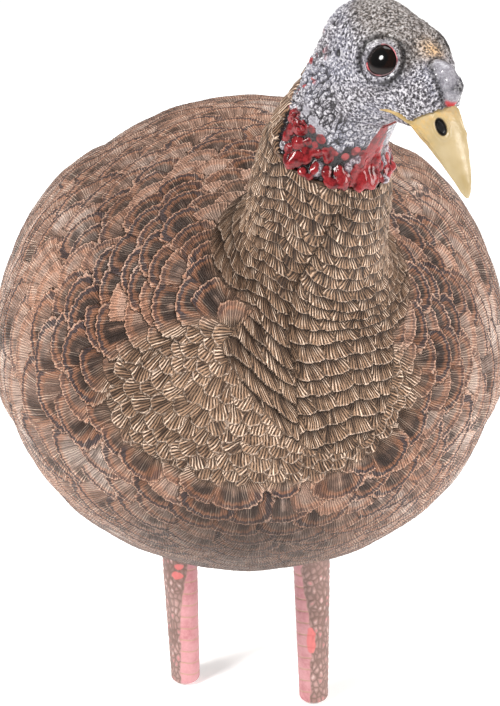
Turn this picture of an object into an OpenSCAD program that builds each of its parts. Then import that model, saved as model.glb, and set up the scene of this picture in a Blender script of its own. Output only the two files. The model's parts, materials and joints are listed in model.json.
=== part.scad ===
// Hen turkey decoy: a hollow two-part body with a plug-in head, carried on a stake sleeve.
// Millimetres. +Z is up, the bird faces -Y and its left side is +X.
// The origin is the mouth of the stake bore, under the belly.

/* [Body] */
// Half the width of the body at its widest
body_half_w = 135; // [125:1:145]
// Highest point of the back above the stake bore's mouth
back_z = 271; // [262:1:285]
// Thickness of the moulded body shell
shell_wall = 2.6; // [2:0.2:4]

/* [Neck and head] */
// Turn of the head towards the bird's left, degrees
head_yaw = 40; // [20:1:60]
// Forward lean of the neck where it meets the head, degrees
neck_lean = 27; // [15:1:40]
// Outer radius of the neck where it meets the head
neck_top_r = 28.5; // [27:0.5:32]
// Radius of each eye
eye_r = 8; // [6.5:0.25:9]

/* [Legs] */
// How far the legs reach below the stake bore's mouth
leg_drop = 100; // [70:1:130]
// Radius of a leg at its foot end
leg_foot_r = 8.8; // [6:0.2:10]
// Radius of a leg where it meets the belly
leg_top_r = 11.4; // [9:0.2:13]

/* [Stake] */
// Radius of the stake bore
bore_r = 5; // [4:0.1:6]
// Depth of the stake bore
bore_depth = 218; // [150:1:222]
// Turn of the body on its stake to each side, degrees
swivel_stop = 45; // [20:1:60]

/* [Hidden] */
fine = 64;
skin_gap = 0.3;
run_gap = 0.06;

// Stations along the body from breast to tail base: [y, half width, top z, bottom z, z of the widest place]
trunk = [
    [-170, 5, 152, 142, 147],
    [-162, 42, 186, 108, 147],
    [-141, 81, 221, 80, 147],
    [-104, 113, 251, 51, 145],
    [-52, 131, 268, 23, 140],
    [6, body_half_w, back_z, 7, 136],
    [66, 129, 260, 11, 132],
    [122, 111, 234, 34, 128],
    [176, 84, 198, 65, 124],
    [226, 59, 165, 92, 122],
    [262, 46, 146, 106, 121],
    [300, 40, 134, 112, 120]
];
// The body ends before the last station, which only shapes the wing tips
body_last = 10;

// Path of the neck: [x, y, z, half width, half depth, forward lean in degrees, turn in degrees]
neck_path = [
    [2, -62, 130, 64, 54, 0, 0],
    [14, -84, 168, 52, 48, 8, 6],
    [23, -106, 200, 43, 42, 14, 12],
    [29.5, -126, 233, 36.5, 38, 20, 20],
    [31.5, -146, 263, 32, 34.5, 25, 30],
    [33.5, -162, 286, 31, 31.5, 27, 38],
    [35, -172, 300.5, neck_top_r, neck_top_r, neck_lean, head_yaw]
];

// Foot end of each leg: [x, y], and how far its top leans over to the bird's right
left_foot = [39.5, -5];
right_foot = [-40.5, 16];
leg_lean = 1.6;
stud_r = 6;
nut_seat = 6;

// ---- Curves and lofts ----

// Catmull-Rom value of a list of stations at a place t from 0 to len - 1
function station(list, t) =
    let (
        n = len(list) - 1,
        i = min(floor(t), n - 1),
        f = t - i,
        a = list[max(i - 1, 0)],
        b = list[i],
        c = list[i + 1],
        d = list[min(i + 2, n)]
    )
    0.5 * (2 * b + (c - a) * f
        + (2 * a - 5 * b + 4 * c - d) * f * f
        + (3 * b - a - 3 * c + d) * f * f * f);

function signed_power(x, p) = sign(x) * pow(abs(x), p);

// A point of the body skin at station t and angle from the bird's left, moved outwards by out
function trunk_point(t, angle, out = 0) =
    let (
        s = station(trunk, t),
        nose = max(0, 1 - t / 3),
        up = sin(angle) > 0 ? s[2] - s[4] : s[4] - s[3],
        roundness = 1.02
    )
    [
        max(s[1] + out, 0.5) * signed_power(cos(angle), roundness),
        s[0] - out * nose,
        s[4] + max(up + out, 0.5) * signed_power(sin(angle), roundness)
    ];

// Unit normal of the body skin, pointing out
function trunk_normal(t, angle) =
    let (
        along = trunk_point(t + 0.02, angle) - trunk_point(t - 0.02, angle),
        around = trunk_point(t, angle + 1) - trunk_point(t, angle - 1),
        n = cross(along, around)
    )
    n / norm(n);

// Closed solid through rings of equal length, each turning clockwise seen from the first towards the last
module loft(rings) {
    n = len(rings[0]);
    m = len(rings);
    sides = [
        for (i = [0 : m - 2], j = [0 : n - 1])
            let (k = (j + 1) % n, a = i * n + j, b = i * n + k)
            each [[a, b, b + n], [a, b + n, a + n]]
    ];
    end = (m - 1) * n;
    first = [for (j = [1 : n - 2]) [0, j + 1, j]];
    last = [for (j = [1 : n - 2]) [end, end + j, end + j + 1]];
    polyhedron(points = [for (r = rings) each r], faces = concat(sides, first, last));
}

// ---- Body ----

// Seats inside the body for the two bearings
seat_r = 22;
belly_seat_z = 18;
back_seat_z = 262;

// Angles over the half skin of one side, from the keel to the middle of the back
function half_angles(side, n) = [for (j = [0 : n]) side > 0 ? -90 + 180 * j / n : 90 + 180 * j / n];

// One side of the body as a closed solid, cut flat along the middle
module half_trunk(side, out, first, last, rings, sectors) {
    loft([
        for (i = [0 : rings])
            let (t = first + (last - first) * i / rings)
            [for (a = half_angles(side, sectors)) trunk_point(t, a, out)]
    ]);
}

// Hollow of one half, leaving seats for the two bearings and for the nuts of the legs
module half_hollow(side) {
    difference() {
        half_trunk(side, -shell_wall, 0.35, body_last - 0.12, 20, 12);
        cylinder(r = seat_r, h = belly_seat_z, $fn = fine);
        translate([0, 0, back_seat_z]) cylinder(r = seat_r, h = 30, $fn = fine);
        leg_frame(left_foot) cylinder(r = leg_top_r + 2, h = nut_seat, $fn = fine);
        leg_frame(right_foot) cylinder(r = leg_top_r + 2, h = nut_seat, $fn = fine);
    }
}

module body_half(side) {
    color("#8a6f5c")
    difference() {
        half_trunk(side, 0, 0, body_last, body_last * 3, 18);
        half_hollow(side);
        neck_tube(skin_gap);
        translate([0, 0, -1]) cylinder(r = bearing_r + 0.2, h = 30, $fn = fine);
        leg_frame(left_foot) cylinder(r = stud_r + 0.2, h = 24, center = true, $fn = fine);
        leg_frame(right_foot) cylinder(r = stud_r + 0.2, h = 24, center = true, $fn = fine);
        tail_slot();
    }
}

module left_body_shell() body_half(1);
module right_body_shell() body_half(-1);

// Ring of an ellipse, leaned forward and then turned to the bird's left
function leaned_ring(s, out, n) =
    [
        for (j = [0 : n - 1])
            let (
                a = -360 * j / n,
                x = (s[3] + out) * cos(a),
                y = (s[4] + out) * sin(a),
                y2 = y * cos(s[5]),
                z2 = y * sin(s[5])
            )
            [s[0] + x * cos(s[6]) - y2 * sin(s[6]), s[1] + x * sin(s[6]) + y2 * cos(s[6]), s[2] + z2]
    ];

module neck_tube(out = 0, first = 0) {
    n = 32;
    count = 18;
    last = len(neck_path) - 1;
    loft([
        for (i = [0 : count])
            leaned_ring(station(neck_path, first + (last - first) * i / count), out, n)
    ]);
}

module neck() {
    color("#9c8570")
    difference() {
        neck_tube();
        neck_bore();
        head_frame() translate([0, 0, -14]) cylinder(r = ring_r + 0.05, h = 30, $fn = fine);
        translate([0, 0, 60]) cylinder(r = 200, h = neck_foot_z - 60, $fn = fine);
    }
}

// Hollow of the neck, which runs right through it
neck_foot_z = 170;
neck_wall = 4;
module neck_bore() {
    n = 24;
    count = 14;
    last = len(neck_path) - 1;
    end = head_place([0, 0, 2]);
    loft([
        for (i = [0 : count]) leaned_ring(station(neck_path, last * i / count), -neck_wall, n),
        leaned_ring([end[0], end[1], end[2], seam_at[3], seam_at[4], seam_at[5], seam_at[6]], -neck_wall, n)
    ]);
}

// ---- Wings and tail ----

// Place on the body skin of a wing point: u runs along the wing and w across it, both from 0 to 1
wing_from = 2.3;
wing_to = 11;
function wing_place(u, w) =
    let (
        t = wing_from + (wing_to - wing_from) * u,
        top = 54 - 12 * u,
        low = -12 + 22 * pow(u, 1.4)
    )
    [t, low + (top - low) * w];

// Thickness of a wing: round at the shoulder, thin at its edges and its tip
wing_thick = 6;
wing_gap = 1.1;
function wing_skin(u, w) =
    0.8 + wing_thick * pow(max(0, 1 - pow(abs(2 * w - 1), 3)), 0.8)
        * pow(max(0, sin(180 * min(1, u * 1.6 + 0.04) * 0.5)), 0.7) * (1 - 0.72 * u);

function wing_point(side, u, w, out) =
    let (
        p = wing_place(u, w),
        a = side > 0 ? p[1] : 180 - p[1]
    )
    trunk_point(p[0], a, 0) + out * trunk_normal(p[0], a);

module wing(side) {
    rows = 26;
    cols = 12;
    color("#7b5f4c")
    loft([
        for (i = [0 : rows])
            let (
                u = i / rows,
                shoulder = sqrt(max(0.012, 1 - pow(2 * min(u, 0.12) / 0.24 - 1, 2))),
                taper = shoulder * sqrt(max(0.012, 1 - pow(u, 9))),
                outer = [
                    for (j = [0 : cols])
                        let (w = 0.5 + (j / cols - 0.5) * taper)
                        wing_point(side, u, w, wing_gap + wing_skin(u, w))
                ],
                inner = [
                    for (j = [cols : -1 : 0])
                        let (w = 0.5 + (j / cols - 0.5) * taper)
                        wing_point(side, u, w, wing_gap)
                ],
                ring = concat(outer, inner)
            )
            side > 0 ? ring : [for (k = [len(ring) - 1 : -1 : 0]) ring[k]]
    ]);
}

module left_wing() wing(1);
module right_wing() wing(-1);

// Folded tail: a thin arched fan that widens to a round end, with a flat tongue at its root
tail_root_y = 216;
tail_fan_y = 236;
tail_end_y = 404;
tail_root_z = 127;
tail_end_z = 92;
tail_arch = 12;
tongue_w = 26;
tongue_h = 6;
tongue_end_y = 256;

function tail_half_w(f) = tongue_w + 32 * pow(f, 0.8);

// Point of the fan at f, from 0 at its root to 1 at its end, and w, from -1 to 1 across it
function tail_point(f, w, rise) =
    let (
        half = tail_half_w(f) * sqrt(max(0.02, 1 - pow(f, 10))),
        y = tail_fan_y + (tail_end_y - tail_fan_y) * f,
        z = tail_root_z + (tail_end_z - tail_root_z) * pow(f, 1.1)
    )
    [half * w, y - 10 * f * w * w, z - (1 + tail_arch * f) * w * w + rise];

// Section of the fan at f: its top from left to right, then its underside back again
function tail_ring(f) =
    let (n = 14, thick = 2.6 - 1.5 * f)
    concat(
        [for (j = [0 : n]) tail_point(f, 1 - 2 * j / n, thick)],
        [for (j = [n : -1 : 0]) tail_point(f, 1 - 2 * j / n, -thick)]
    );

module tail_tongue(out = 0) {
    translate([-tongue_w - out, tail_root_y - out, tail_root_z - tongue_h / 2 - out])
        cube([2 * (tongue_w + out), tongue_end_y - tail_root_y + out, tongue_h + 2 * out]);
}

module screw_holes() {
    for (x = [-1, 1]) translate([x * screw_x, tail_root_y + 10, 100]) cylinder(r = 2.3, h = 60, $fn = fine);
}

module tail() {
    color("#6f5746")
    difference() {
        union() {
            loft([for (i = [0 : 16]) tail_ring(i / 16)]);
            tail_tongue();
        }
        screw_holes();
    }
}

// Slot through the end of the body for the tail's tongue and the root of its fan
module tail_slot() {
    tail_tongue(skin_gap);
    translate([-tongue_w - 12, tail_fan_y - 1, tail_root_z - 12]) cube([2 * (tongue_w + 12), 60, 16]);
}

screw_x = 14;
clamp_z = tail_root_z + tongue_h / 2 + 0.2;
module tail_clamp() {
    color("#26292c")
    difference() {
        translate([-24, tail_root_y + 1, clamp_z]) cube([48, 18, 5]);
        screw_holes();
    }
}

module tail_screws() {
    color("#b9bcc0")
    for (x = [-1, 1]) translate([x * screw_x, tail_root_y + 10, 0]) {
        translate([0, 0, tail_root_z - 9]) cylinder(r = 2, h = 18.2, $fn = fine);
        translate([0, 0, clamp_z + 5.1]) cylinder(r = 4, h = 2.6, $fn = fine);
        translate([0, 0, tail_root_z - 6.8]) cylinder(r = 4, h = 3.2, $fn = 6);
    }
}

// ---- Legs ----

// Frame on the belly skin above a foot, with +Z pointing straight into the body
module leg_frame(foot) {
    t = 5 + (foot[1] - 6) / 60;
    a = -90 + (foot[0] - 2.8) * 0.445;
    p = trunk_point(t, a);
    n = -trunk_normal(t, a);
    x = [1, 0, 0] - n[0] * n;
    ux = x / norm(x);
    uy = cross(n, ux);
    multmatrix([
        [ux[0], uy[0], n[0], p[0]],
        [ux[1], uy[1], n[1], p[1]],
        [ux[2], uy[2], n[2], p[2]],
        [0, 0, 0, 1]
    ]) children();
}

module leg(foot) {
    round_r = 3;
    top = leg_drop + 20;
    color("#c98a86") {
        difference() {
            translate([foot[0], foot[1], -leg_drop]) rotate([0, -leg_lean, 0]) rotate_extrude($fn = fine) {
                polygon([
                    [0, 0], [leg_foot_r - round_r, 0], [leg_foot_r, round_r],
                    [leg_top_r, top], [0, top]
                ]);
                intersection() {
                    translate([leg_foot_r - round_r, round_r]) circle(r = round_r, $fn = 32);
                    square([leg_foot_r, round_r]);
                }
            }
            leg_frame(foot) translate([-30, -30, -0.3]) cube(60);
        }
        leg_frame(foot) translate([0, 0, -8]) cylinder(r = stud_r, h = 26, $fn = fine);
    }
}

module left_leg() leg(left_foot);
module right_leg() leg(right_foot);

module leg_nut() {
    difference() {
        translate([0, 0, nut_seat]) cylinder(r = 11, h = 7, $fn = 6);
        cylinder(r = stud_r + run_gap, h = 30, $fn = fine);
    }
}

module leg_nuts() {
    color("#26292c") {
        leg_frame(left_foot) leg_nut();
        leg_frame(right_foot) leg_nut();
    }
}

// ---- Stake sleeve and the bearings that the body turns on ----

sleeve_r = 9;
sleeve_top = 238;
flange_r = 14.5;
flange_h = 3;
bearing_r = 17;
bearing_top = 30;
lug_at = 12;
lug_r = 1.5;
ball_r = 5;
clip_z = bearing_top + 0.4;

module stake_sleeve() {
    color("#2b2d30")
    difference() {
        union() {
            cylinder(r = flange_r, h = flange_h, $fn = fine);
            cylinder(r = sleeve_r, h = sleeve_top, $fn = fine);
            translate([0, -lug_at, 0]) cylinder(r = lug_r, h = flange_h + 3, $fn = fine);
        }
        translate([0, 0, -1]) cylinder(r = bore_r, h = bore_depth + 1, $fn = fine);
        translate([0, 0, sleeve_top]) sphere(r = ball_r + 0.1, $fn = fine);
        translate([0, 0, clip_z - 0.1]) difference() {
            cylinder(r = sleeve_r + 2, h = 1.7, $fn = fine);
            translate([0, 0, -1]) cylinder(r = sleeve_r - 1.5, h = 4, $fn = fine);
        }
    }
}

module thrust_ball() {
    color("#c4c7ca") translate([0, 0, sleeve_top]) sphere(r = ball_r, $fn = fine);
}

module retaining_clip() {
    gap_w = 9;
    color("#c4c7ca")
    translate([0, 0, clip_z])
    difference() {
        cylinder(r = sleeve_r + 4, h = 1.5, $fn = fine);
        translate([0, 0, -1]) cylinder(r = sleeve_r - 1.3, h = 4, $fn = fine);
        translate([-gap_w / 2, 0, -1]) cube([gap_w, 20, 4]);
    }
}

module belly_bearing() {
    stop = swivel_stop + asin(lug_r / lug_at) + 1;
    color("#34373a")
    difference() {
        union() {
            translate([0, 0, flange_h + skin_gap])
                cylinder(r = bearing_r, h = bearing_top - flange_h - skin_gap, $fn = fine);
            translate([0, 0, belly_seat_z + 0.1]) cylinder(r = 20.5, h = 3, $fn = fine);
        }
        cylinder(r = sleeve_r + run_gap, h = 60, $fn = fine);
        rotate([0, 0, -90 - stop]) rotate_extrude(angle = 2 * stop, $fn = fine)
            translate([lug_at - 2, 0]) square([4, flange_h + 3.6]);
    }
}

module back_bearing() {
    cup_low = 212;
    plate_z = back_seat_z - 4.9;
    seat_z = sleeve_top + ball_r;
    color("#34373a")
    difference() {
        union() {
            translate([0, 0, cup_low]) cylinder(r = 14, h = plate_z - cup_low, $fn = fine);
            translate([0, 0, plate_z]) cylinder(r = 20.5, h = 4.8, $fn = fine);
        }
        translate([0, 0, cup_low - 1])
            cylinder(r = sleeve_r + run_gap, h = seat_z - cup_low + 1 + run_gap, $fn = fine);
    }
}

// ---- Head, in the frame of its joint with the neck ----

seam_at = neck_path[len(neck_path) - 1];
seam = [seam_at[0], seam_at[1], seam_at[2]];

// World place of a point given in the head's frame
function head_place(p) =
    let (
        y = p[1] * cos(neck_lean) - p[2] * sin(neck_lean),
        z = p[1] * sin(neck_lean) + p[2] * cos(neck_lean)
    )
    seam + [p[0] * cos(head_yaw) - y * sin(head_yaw), p[0] * sin(head_yaw) + y * cos(head_yaw), z];

module head_frame() {
    translate(seam) rotate([0, 0, head_yaw]) rotate([neck_lean, 0, 0]) children();
}

plug_r = 15;
plug_low = -36;
pin_r = 7;
pin_top = 24;
pivot_r = 2.5;
ring_r = neck_top_r - 3.6;

module neck_ring() {
    color("#34373a")
    head_frame()
    difference() {
        translate([0, 0, -13.9]) cylinder(r = ring_r, h = 9.9, $fn = fine);
        translate([0, 0, -20]) cylinder(r = plug_r + run_gap, h = 30, $fn = fine);
        translate([plug_r - 2, -2.6, -20]) cube([5, 5.2, 30]);
    }
}

module head_plug() {
    color("#34373a")
    head_frame()
    difference() {
        union() {
            translate([0, 0, plug_low]) cylinder(r = plug_r, h = -plug_low - 0.5, $fn = fine);
            translate([0, 0, -3.9]) cylinder(r = 22, h = 3.6, $fn = fine);
            translate([0, 0, -1]) cylinder(r = pin_r, h = pin_top + 1, $fn = fine);
            translate([plug_r - 1, -2.4, -30]) cube([3.6, 4.8, 28]);
        }
        translate([0, 0, plug_low - 1]) cylinder(r = pivot_r + run_gap, h = 80, $fn = fine);
        translate([0, 0, plug_low - 1]) cylinder(r = 5.5, h = 13, $fn = fine);
    }
}

module head_screw() {
    color("#b9bcc0")
    head_frame() {
        translate([0, 0, plug_low + 10]) cylinder(r = pivot_r, h = 60, $fn = fine);
        translate([0, 0, plug_low + 8.5]) cylinder(r = 5, h = 3.4, $fn = fine);
    }
}

// Ball of the head's shape: centre, then half width, half length and half height
module lump(at, size) {
    translate(at) scale(size) sphere(r = 1, $fn = 32);
}

module head_form() {
    hull() {
        translate([0, 0, 0.2]) cylinder(r = neck_top_r - 1, h = 3, $fn = 32);
        lump([0, -1, 24], [22.5, 24, 15]);
    }
    hull() {
        lump([0, -1, 28], [22, 24, 15]);
        lump([0, -5, 54], [21.5, 27, 24]);
    }
    hull() {
        lump([0, -10, 56], [21.5, 26, 22]);
        lump([0, -36, 58], [14, 14, 15]);
    }
    lump([0, -45, 69], [4.5, 6, 6]);
}

eye_at = [13.5, -21.5, 65];
module eye_place(side) {
    translate([side * eye_at[0], eye_at[1], eye_at[2]]) children();
}

module head() {
    color("#8d8f94")
    head_frame()
    difference() {
        head_form();
        translate([0, 0, -1]) cylinder(r = pin_r + run_gap, h = pin_top + 1.6, $fn = fine);
        translate([0, 0, pin_top - 2]) cylinder(r = pivot_r, h = 14, $fn = fine);
        eye_place(1) sphere(r = eye_r + 0.15, $fn = fine);
        eye_place(-1) sphere(r = eye_r + 0.15, $fn = fine);
        beak_form(0.25);
    }
}

// Rings of the beak from its root inside the face to its hooked tip: [y, z, half width, half height]
beak_rings = [
    [-34, 52, 8.5, 8.5],
    [-44, 52.5, 10, 10],
    [-52, 50.5, 9, 9.4],
    [-59, 47.5, 7.4, 8],
    [-66, 43.5, 5.2, 6],
    [-72, 39.5, 3, 4],
    [-76, 36.5, 1.1, 1.6]
];
module beak_form(out = 0) {
    n = 20;
    loft([
        for (i = [0 : 15])
            let (s = station(beak_rings, (len(beak_rings) - 1) * i / 15))
            [
                for (j = [0 : n - 1])
                    let (a = 360 * j / n)
                    [(s[2] + out) * cos(a), s[0] + (i == 0 ? out : 0), s[1] - (s[3] + out) * sin(a)]
            ]
    ]);
}

module beak() {
    color("#d9cb8f") head_frame() beak_form();
}

module left_eye() {
    color("#120d0b") head_frame() eye_place(1) sphere(r = eye_r, $fn = fine);
}

module right_eye() {
    color("#120d0b") head_frame() eye_place(-1) sphere(r = eye_r, $fn = fine);
}

stake_sleeve();
thrust_ball();
retaining_clip();
left_body_shell();
right_body_shell();
neck();
belly_bearing();
back_bearing();
left_wing();
right_wing();
tail();
tail_clamp();
tail_screws();
left_leg();
right_leg();
leg_nuts();
neck_ring();
head_plug();
head();
beak();
left_eye();
right_eye();
head_screw();
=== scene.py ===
"""Looks of the hen turkey decoy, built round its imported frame. Metres; +Z up, the bird faces -Y."""
import json
import math
from types import SimpleNamespace

import bpy
import numpy as np
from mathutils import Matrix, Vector
from mathutils.bvhtree import BVHTree


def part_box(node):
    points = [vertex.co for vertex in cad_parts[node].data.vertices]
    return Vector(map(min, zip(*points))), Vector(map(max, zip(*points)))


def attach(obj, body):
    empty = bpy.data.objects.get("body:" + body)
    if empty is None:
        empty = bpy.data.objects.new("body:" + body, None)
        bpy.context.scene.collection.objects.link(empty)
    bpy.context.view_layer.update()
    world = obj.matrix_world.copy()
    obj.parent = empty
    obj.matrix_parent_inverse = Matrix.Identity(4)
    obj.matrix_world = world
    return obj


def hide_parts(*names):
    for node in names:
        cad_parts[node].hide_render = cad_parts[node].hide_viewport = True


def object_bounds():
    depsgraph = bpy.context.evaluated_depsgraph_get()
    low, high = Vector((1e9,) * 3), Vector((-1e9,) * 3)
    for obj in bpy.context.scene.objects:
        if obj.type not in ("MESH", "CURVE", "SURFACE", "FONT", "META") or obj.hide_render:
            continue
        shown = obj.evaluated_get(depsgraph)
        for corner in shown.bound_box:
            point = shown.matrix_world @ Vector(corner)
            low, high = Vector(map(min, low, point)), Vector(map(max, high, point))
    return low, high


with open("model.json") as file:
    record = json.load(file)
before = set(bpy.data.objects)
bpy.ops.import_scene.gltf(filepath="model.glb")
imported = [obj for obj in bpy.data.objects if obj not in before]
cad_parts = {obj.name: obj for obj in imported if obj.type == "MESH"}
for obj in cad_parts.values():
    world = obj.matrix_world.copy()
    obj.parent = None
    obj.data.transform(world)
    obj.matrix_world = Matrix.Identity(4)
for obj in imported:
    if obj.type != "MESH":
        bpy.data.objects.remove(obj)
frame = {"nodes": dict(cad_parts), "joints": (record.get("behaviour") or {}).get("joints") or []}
cad_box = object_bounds()
nodes = frame["nodes"]
MM = 0.001
SIDES = {"left": np.array([1, 1, 1]), "right": np.array([-1, 1, 1])}
rng = np.random.default_rng(11)


# ---- Numbers and curves ----

def unit(v):
    return v / np.maximum(np.linalg.norm(v, axis=-1, keepdims=True), 1e-12)


def smooth_step(low, high, value):
    t = np.clip((value - low) / (high - low), 0, 1)
    return t * t * (3 - 2 * t)


def hump(value, middle, width):
    """A smooth hump, 1 high at its middle"""
    return np.exp(-((value - middle) / width) ** 2)


def blend(a, b, share):
    return a * (1 - share) + b * share


def lattice_random(cells, seed):
    """A repeatable number from 0 to 1 for each row of whole-number cells"""
    a = cells.astype(np.int64)
    h = a[:, 0] * 73856093 ^ a[:, 1] * 19349663 ^ a[:, 2] * 83492791 ^ seed * 2654435761
    h = (h ^ (h >> 13)) * 1274126177 & 0xFFFFFFFF
    h = (h ^ (h >> 16)) * 2246822519 & 0xFFFFFFFF
    return ((h ^ (h >> 15)) & 0xFFFFFF) / 0xFFFFFF


def value_noise(points, size, seed):
    """Smooth noise from -1 to 1 with features of about the given size"""
    p = points / size
    base = np.floor(p)
    f = p - base
    f = f * f * (3 - 2 * f)
    total = 0
    for corner in np.ndindex(2, 2, 2):
        c = np.array(corner)
        weight = np.prod(np.where(c == 1, f, 1 - f), axis=1)
        total = total + weight * lattice_random(base + c, seed)
    return total * 2 - 1


def cell_distances(points, seed):
    """Distances to the nearest and the second nearest of scattered cell centres, in cell sizes"""
    base = np.floor(points)
    first = np.full(len(points), 9.0)
    second = first.copy()
    for corner in np.ndindex(3, 3, 3):
        cell = base + np.array(corner) - 1
        spot = cell + np.stack([lattice_random(cell, seed + k) for k in range(3)], -1)
        gap = np.linalg.norm(points - spot, axis=1)
        second = np.minimum(second, np.maximum(gap, first))
        first = np.minimum(first, gap)
    return first, second


# ---- The neck's axis, and the head's own frame on top of it ----

head_turn = next(joint for joint in frame["joints"] if joint["name"] == "head_turn")
seam = np.array(head_turn["pos_m"])
neck_axis = np.array(head_turn["axis"])
side_axis = np.cross([0, 0, 1], neck_axis)
side_axis /= np.linalg.norm(side_axis)
head_axes = np.stack([side_axis, np.cross(neck_axis, side_axis), neck_axis])


def to_head(points):
    """Millimetres in the head's own frame: x to its left, y back and z along the neck"""
    return (points - seam) @ head_axes.T / MM


def from_head(places):
    return seam + np.asarray(places, float) * MM @ head_axes


def up_neck(points):
    """How far points are above the head's seam along the neck's axis, and how far off that axis"""
    return (points - seam) @ neck_axis, np.linalg.norm(np.cross(points - seam, neck_axis), axis=1)


# ---- Meshes ----

def vectors_of(items, field):
    flat = np.empty(len(items) * 3, np.float32)
    items.foreach_get(field, flat)
    return flat.reshape(-1, 3).astype(float)


def points_of(mesh):
    return vectors_of(mesh.vertices, "co")


def normals_of(mesh):
    return vectors_of(mesh.vertex_normals, "vector")


def quads_of(mesh):
    corners = np.empty(len(mesh.loops), np.int32)
    mesh.loops.foreach_get("vertex_index", corners)
    return corners.reshape(-1, 4)


def cad_part(name):
    """Points in the head's frame and triangles of a CAD node"""
    mesh = nodes[name].data
    mesh.calc_loop_triangles()
    corners = np.empty(len(mesh.loop_triangles) * 3, np.int32)
    mesh.loop_triangles.foreach_get("vertices", corners)
    return to_head(points_of(mesh)), [corners.reshape(-1, 3)]


def mesh_from(name, points, faces):
    """A mesh from points and a list of face arrays, each with one row a face"""
    mesh = bpy.data.meshes.new(name)
    mesh.vertices.add(len(points))
    mesh.vertices.foreach_set("co", np.asarray(points, np.float32).ravel())
    sizes = np.concatenate([np.full(len(f), f.shape[1]) for f in faces])
    mesh.loops.add(int(sizes.sum()))
    mesh.loops.foreach_set("vertex_index", np.concatenate([f.ravel() for f in faces]).astype(np.int32))
    mesh.polygons.add(len(sizes))
    mesh.polygons.foreach_set("loop_start", (np.cumsum(sizes) - sizes).astype(np.int32))
    mesh.polygons.foreach_set("use_smooth", np.ones(len(sizes), bool))
    mesh.update(calc_edges=True)
    mesh.validate()
    return mesh


def store(mesh, values):
    """Keeps numbers for the paint at each point of a mesh"""
    for key, value in values.items():
        layer = mesh.attributes.new(key, "FLOAT", "POINT")
        layer.data.foreach_set("value", np.asarray(value, np.float32).ravel())


def add_object(name, data):
    ob = bpy.data.objects.new(name, data)
    bpy.context.scene.collection.objects.link(ob)
    return ob


def place_piece(name, mesh, body, slot, cad_nodes, *paints):
    """A finished piece: it moves with a body and stands for some CAD nodes"""
    for paint in paints:
        mesh.materials.append(paint)
    ob = add_object(name, mesh)
    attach(ob, body)
    if cad_nodes:
        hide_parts(*cad_nodes)


def modified(mesh, kind, **settings):
    """The mesh after a modifier"""
    ob = add_object(mesh.name, mesh)
    modifier = ob.modifiers.new(kind, kind)
    for key, value in settings.items():
        setattr(modifier, key, value)
    depsgraph = bpy.context.evaluated_depsgraph_get()
    result = bpy.data.meshes.new_from_object(ob.evaluated_get(depsgraph))
    bpy.data.objects.remove(ob)
    return result


def joined(parts):
    """Points and faces of several parts as one"""
    points = []
    faces = []
    base = 0
    for part_points, part_faces in parts:
        points.append(part_points)
        faces += [f + base for f in part_faces]
        base += len(part_points)
    return np.vstack(points), faces


def remeshed(points, faces, grid):
    """Points and quads of one even surface round closed parts that overlap"""
    mesh = modified(mesh_from("parts", points, faces), "REMESH", mode="VOXEL", voxel_size=grid)
    return points_of(mesh), quads_of(mesh)


def subdivided(points, quads, levels):
    """A coarse surface and the smooth fine one that it stands for"""
    coarse = mesh_from("coarse", points, [quads])
    fine = modified(coarse, "SUBSURF", levels=levels)
    return SimpleNamespace(
        coarse_points=points, coarse_normals=normals_of(coarse), coarse_quads=quads,
        points=points_of(fine), normals=normals_of(fine), quads=quads_of(fine))


def tree_of(*names):
    """Search tree over the faces of some CAD nodes"""
    points = []
    faces = []
    for name in names:
        mesh = nodes[name].data
        base = len(points)
        points += [v.co.copy() for v in mesh.vertices]
        faces += [[base + i for i in p.vertices] for p in mesh.polygons]
    return BVHTree.FromPolygons(points, faces)


def tree_from(points, faces):
    return BVHTree.FromPolygons([Vector(p) for p in points], [f for group in faces for f in group.tolist()])


def distances(tree, points):
    return np.array([tree.find_nearest(Vector(p))[3] for p in points])


def on_node(name, points):
    """Which points lie on a CAD node or just off it"""
    return distances(tree_of(name), points) < 3 * MM


def grid_quads(rows, columns, join_rows=False, join_columns=False):
    """Quads between the points of a grid, whose last row or column may join its first"""
    row_steps = np.arange(rows if join_rows else rows - 1)
    column_steps = np.arange(columns if join_columns else columns - 1)
    i, j = np.meshgrid(row_steps, column_steps, indexing="ij")
    n, k = (i + 1) % rows, (j + 1) % columns
    quads = np.stack([i * columns + j, i * columns + k, n * columns + k, n * columns + j], -1)
    return quads.reshape(-1, 4)


def capped_faces(rings, sides):
    """Faces that look inwards, between rings of points and two more points that close the end rings"""
    j = np.arange(sides)
    k = (j + 1) % sides
    last = (rings - 1) * sides
    first_cap = np.stack([k, j, np.full(sides, rings * sides)], -1)
    last_cap = np.stack([last + j, last + k, np.full(sides, rings * sides + 1)], -1)
    return [grid_quads(rings, sides, join_columns=True), first_cap, last_cap]


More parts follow.
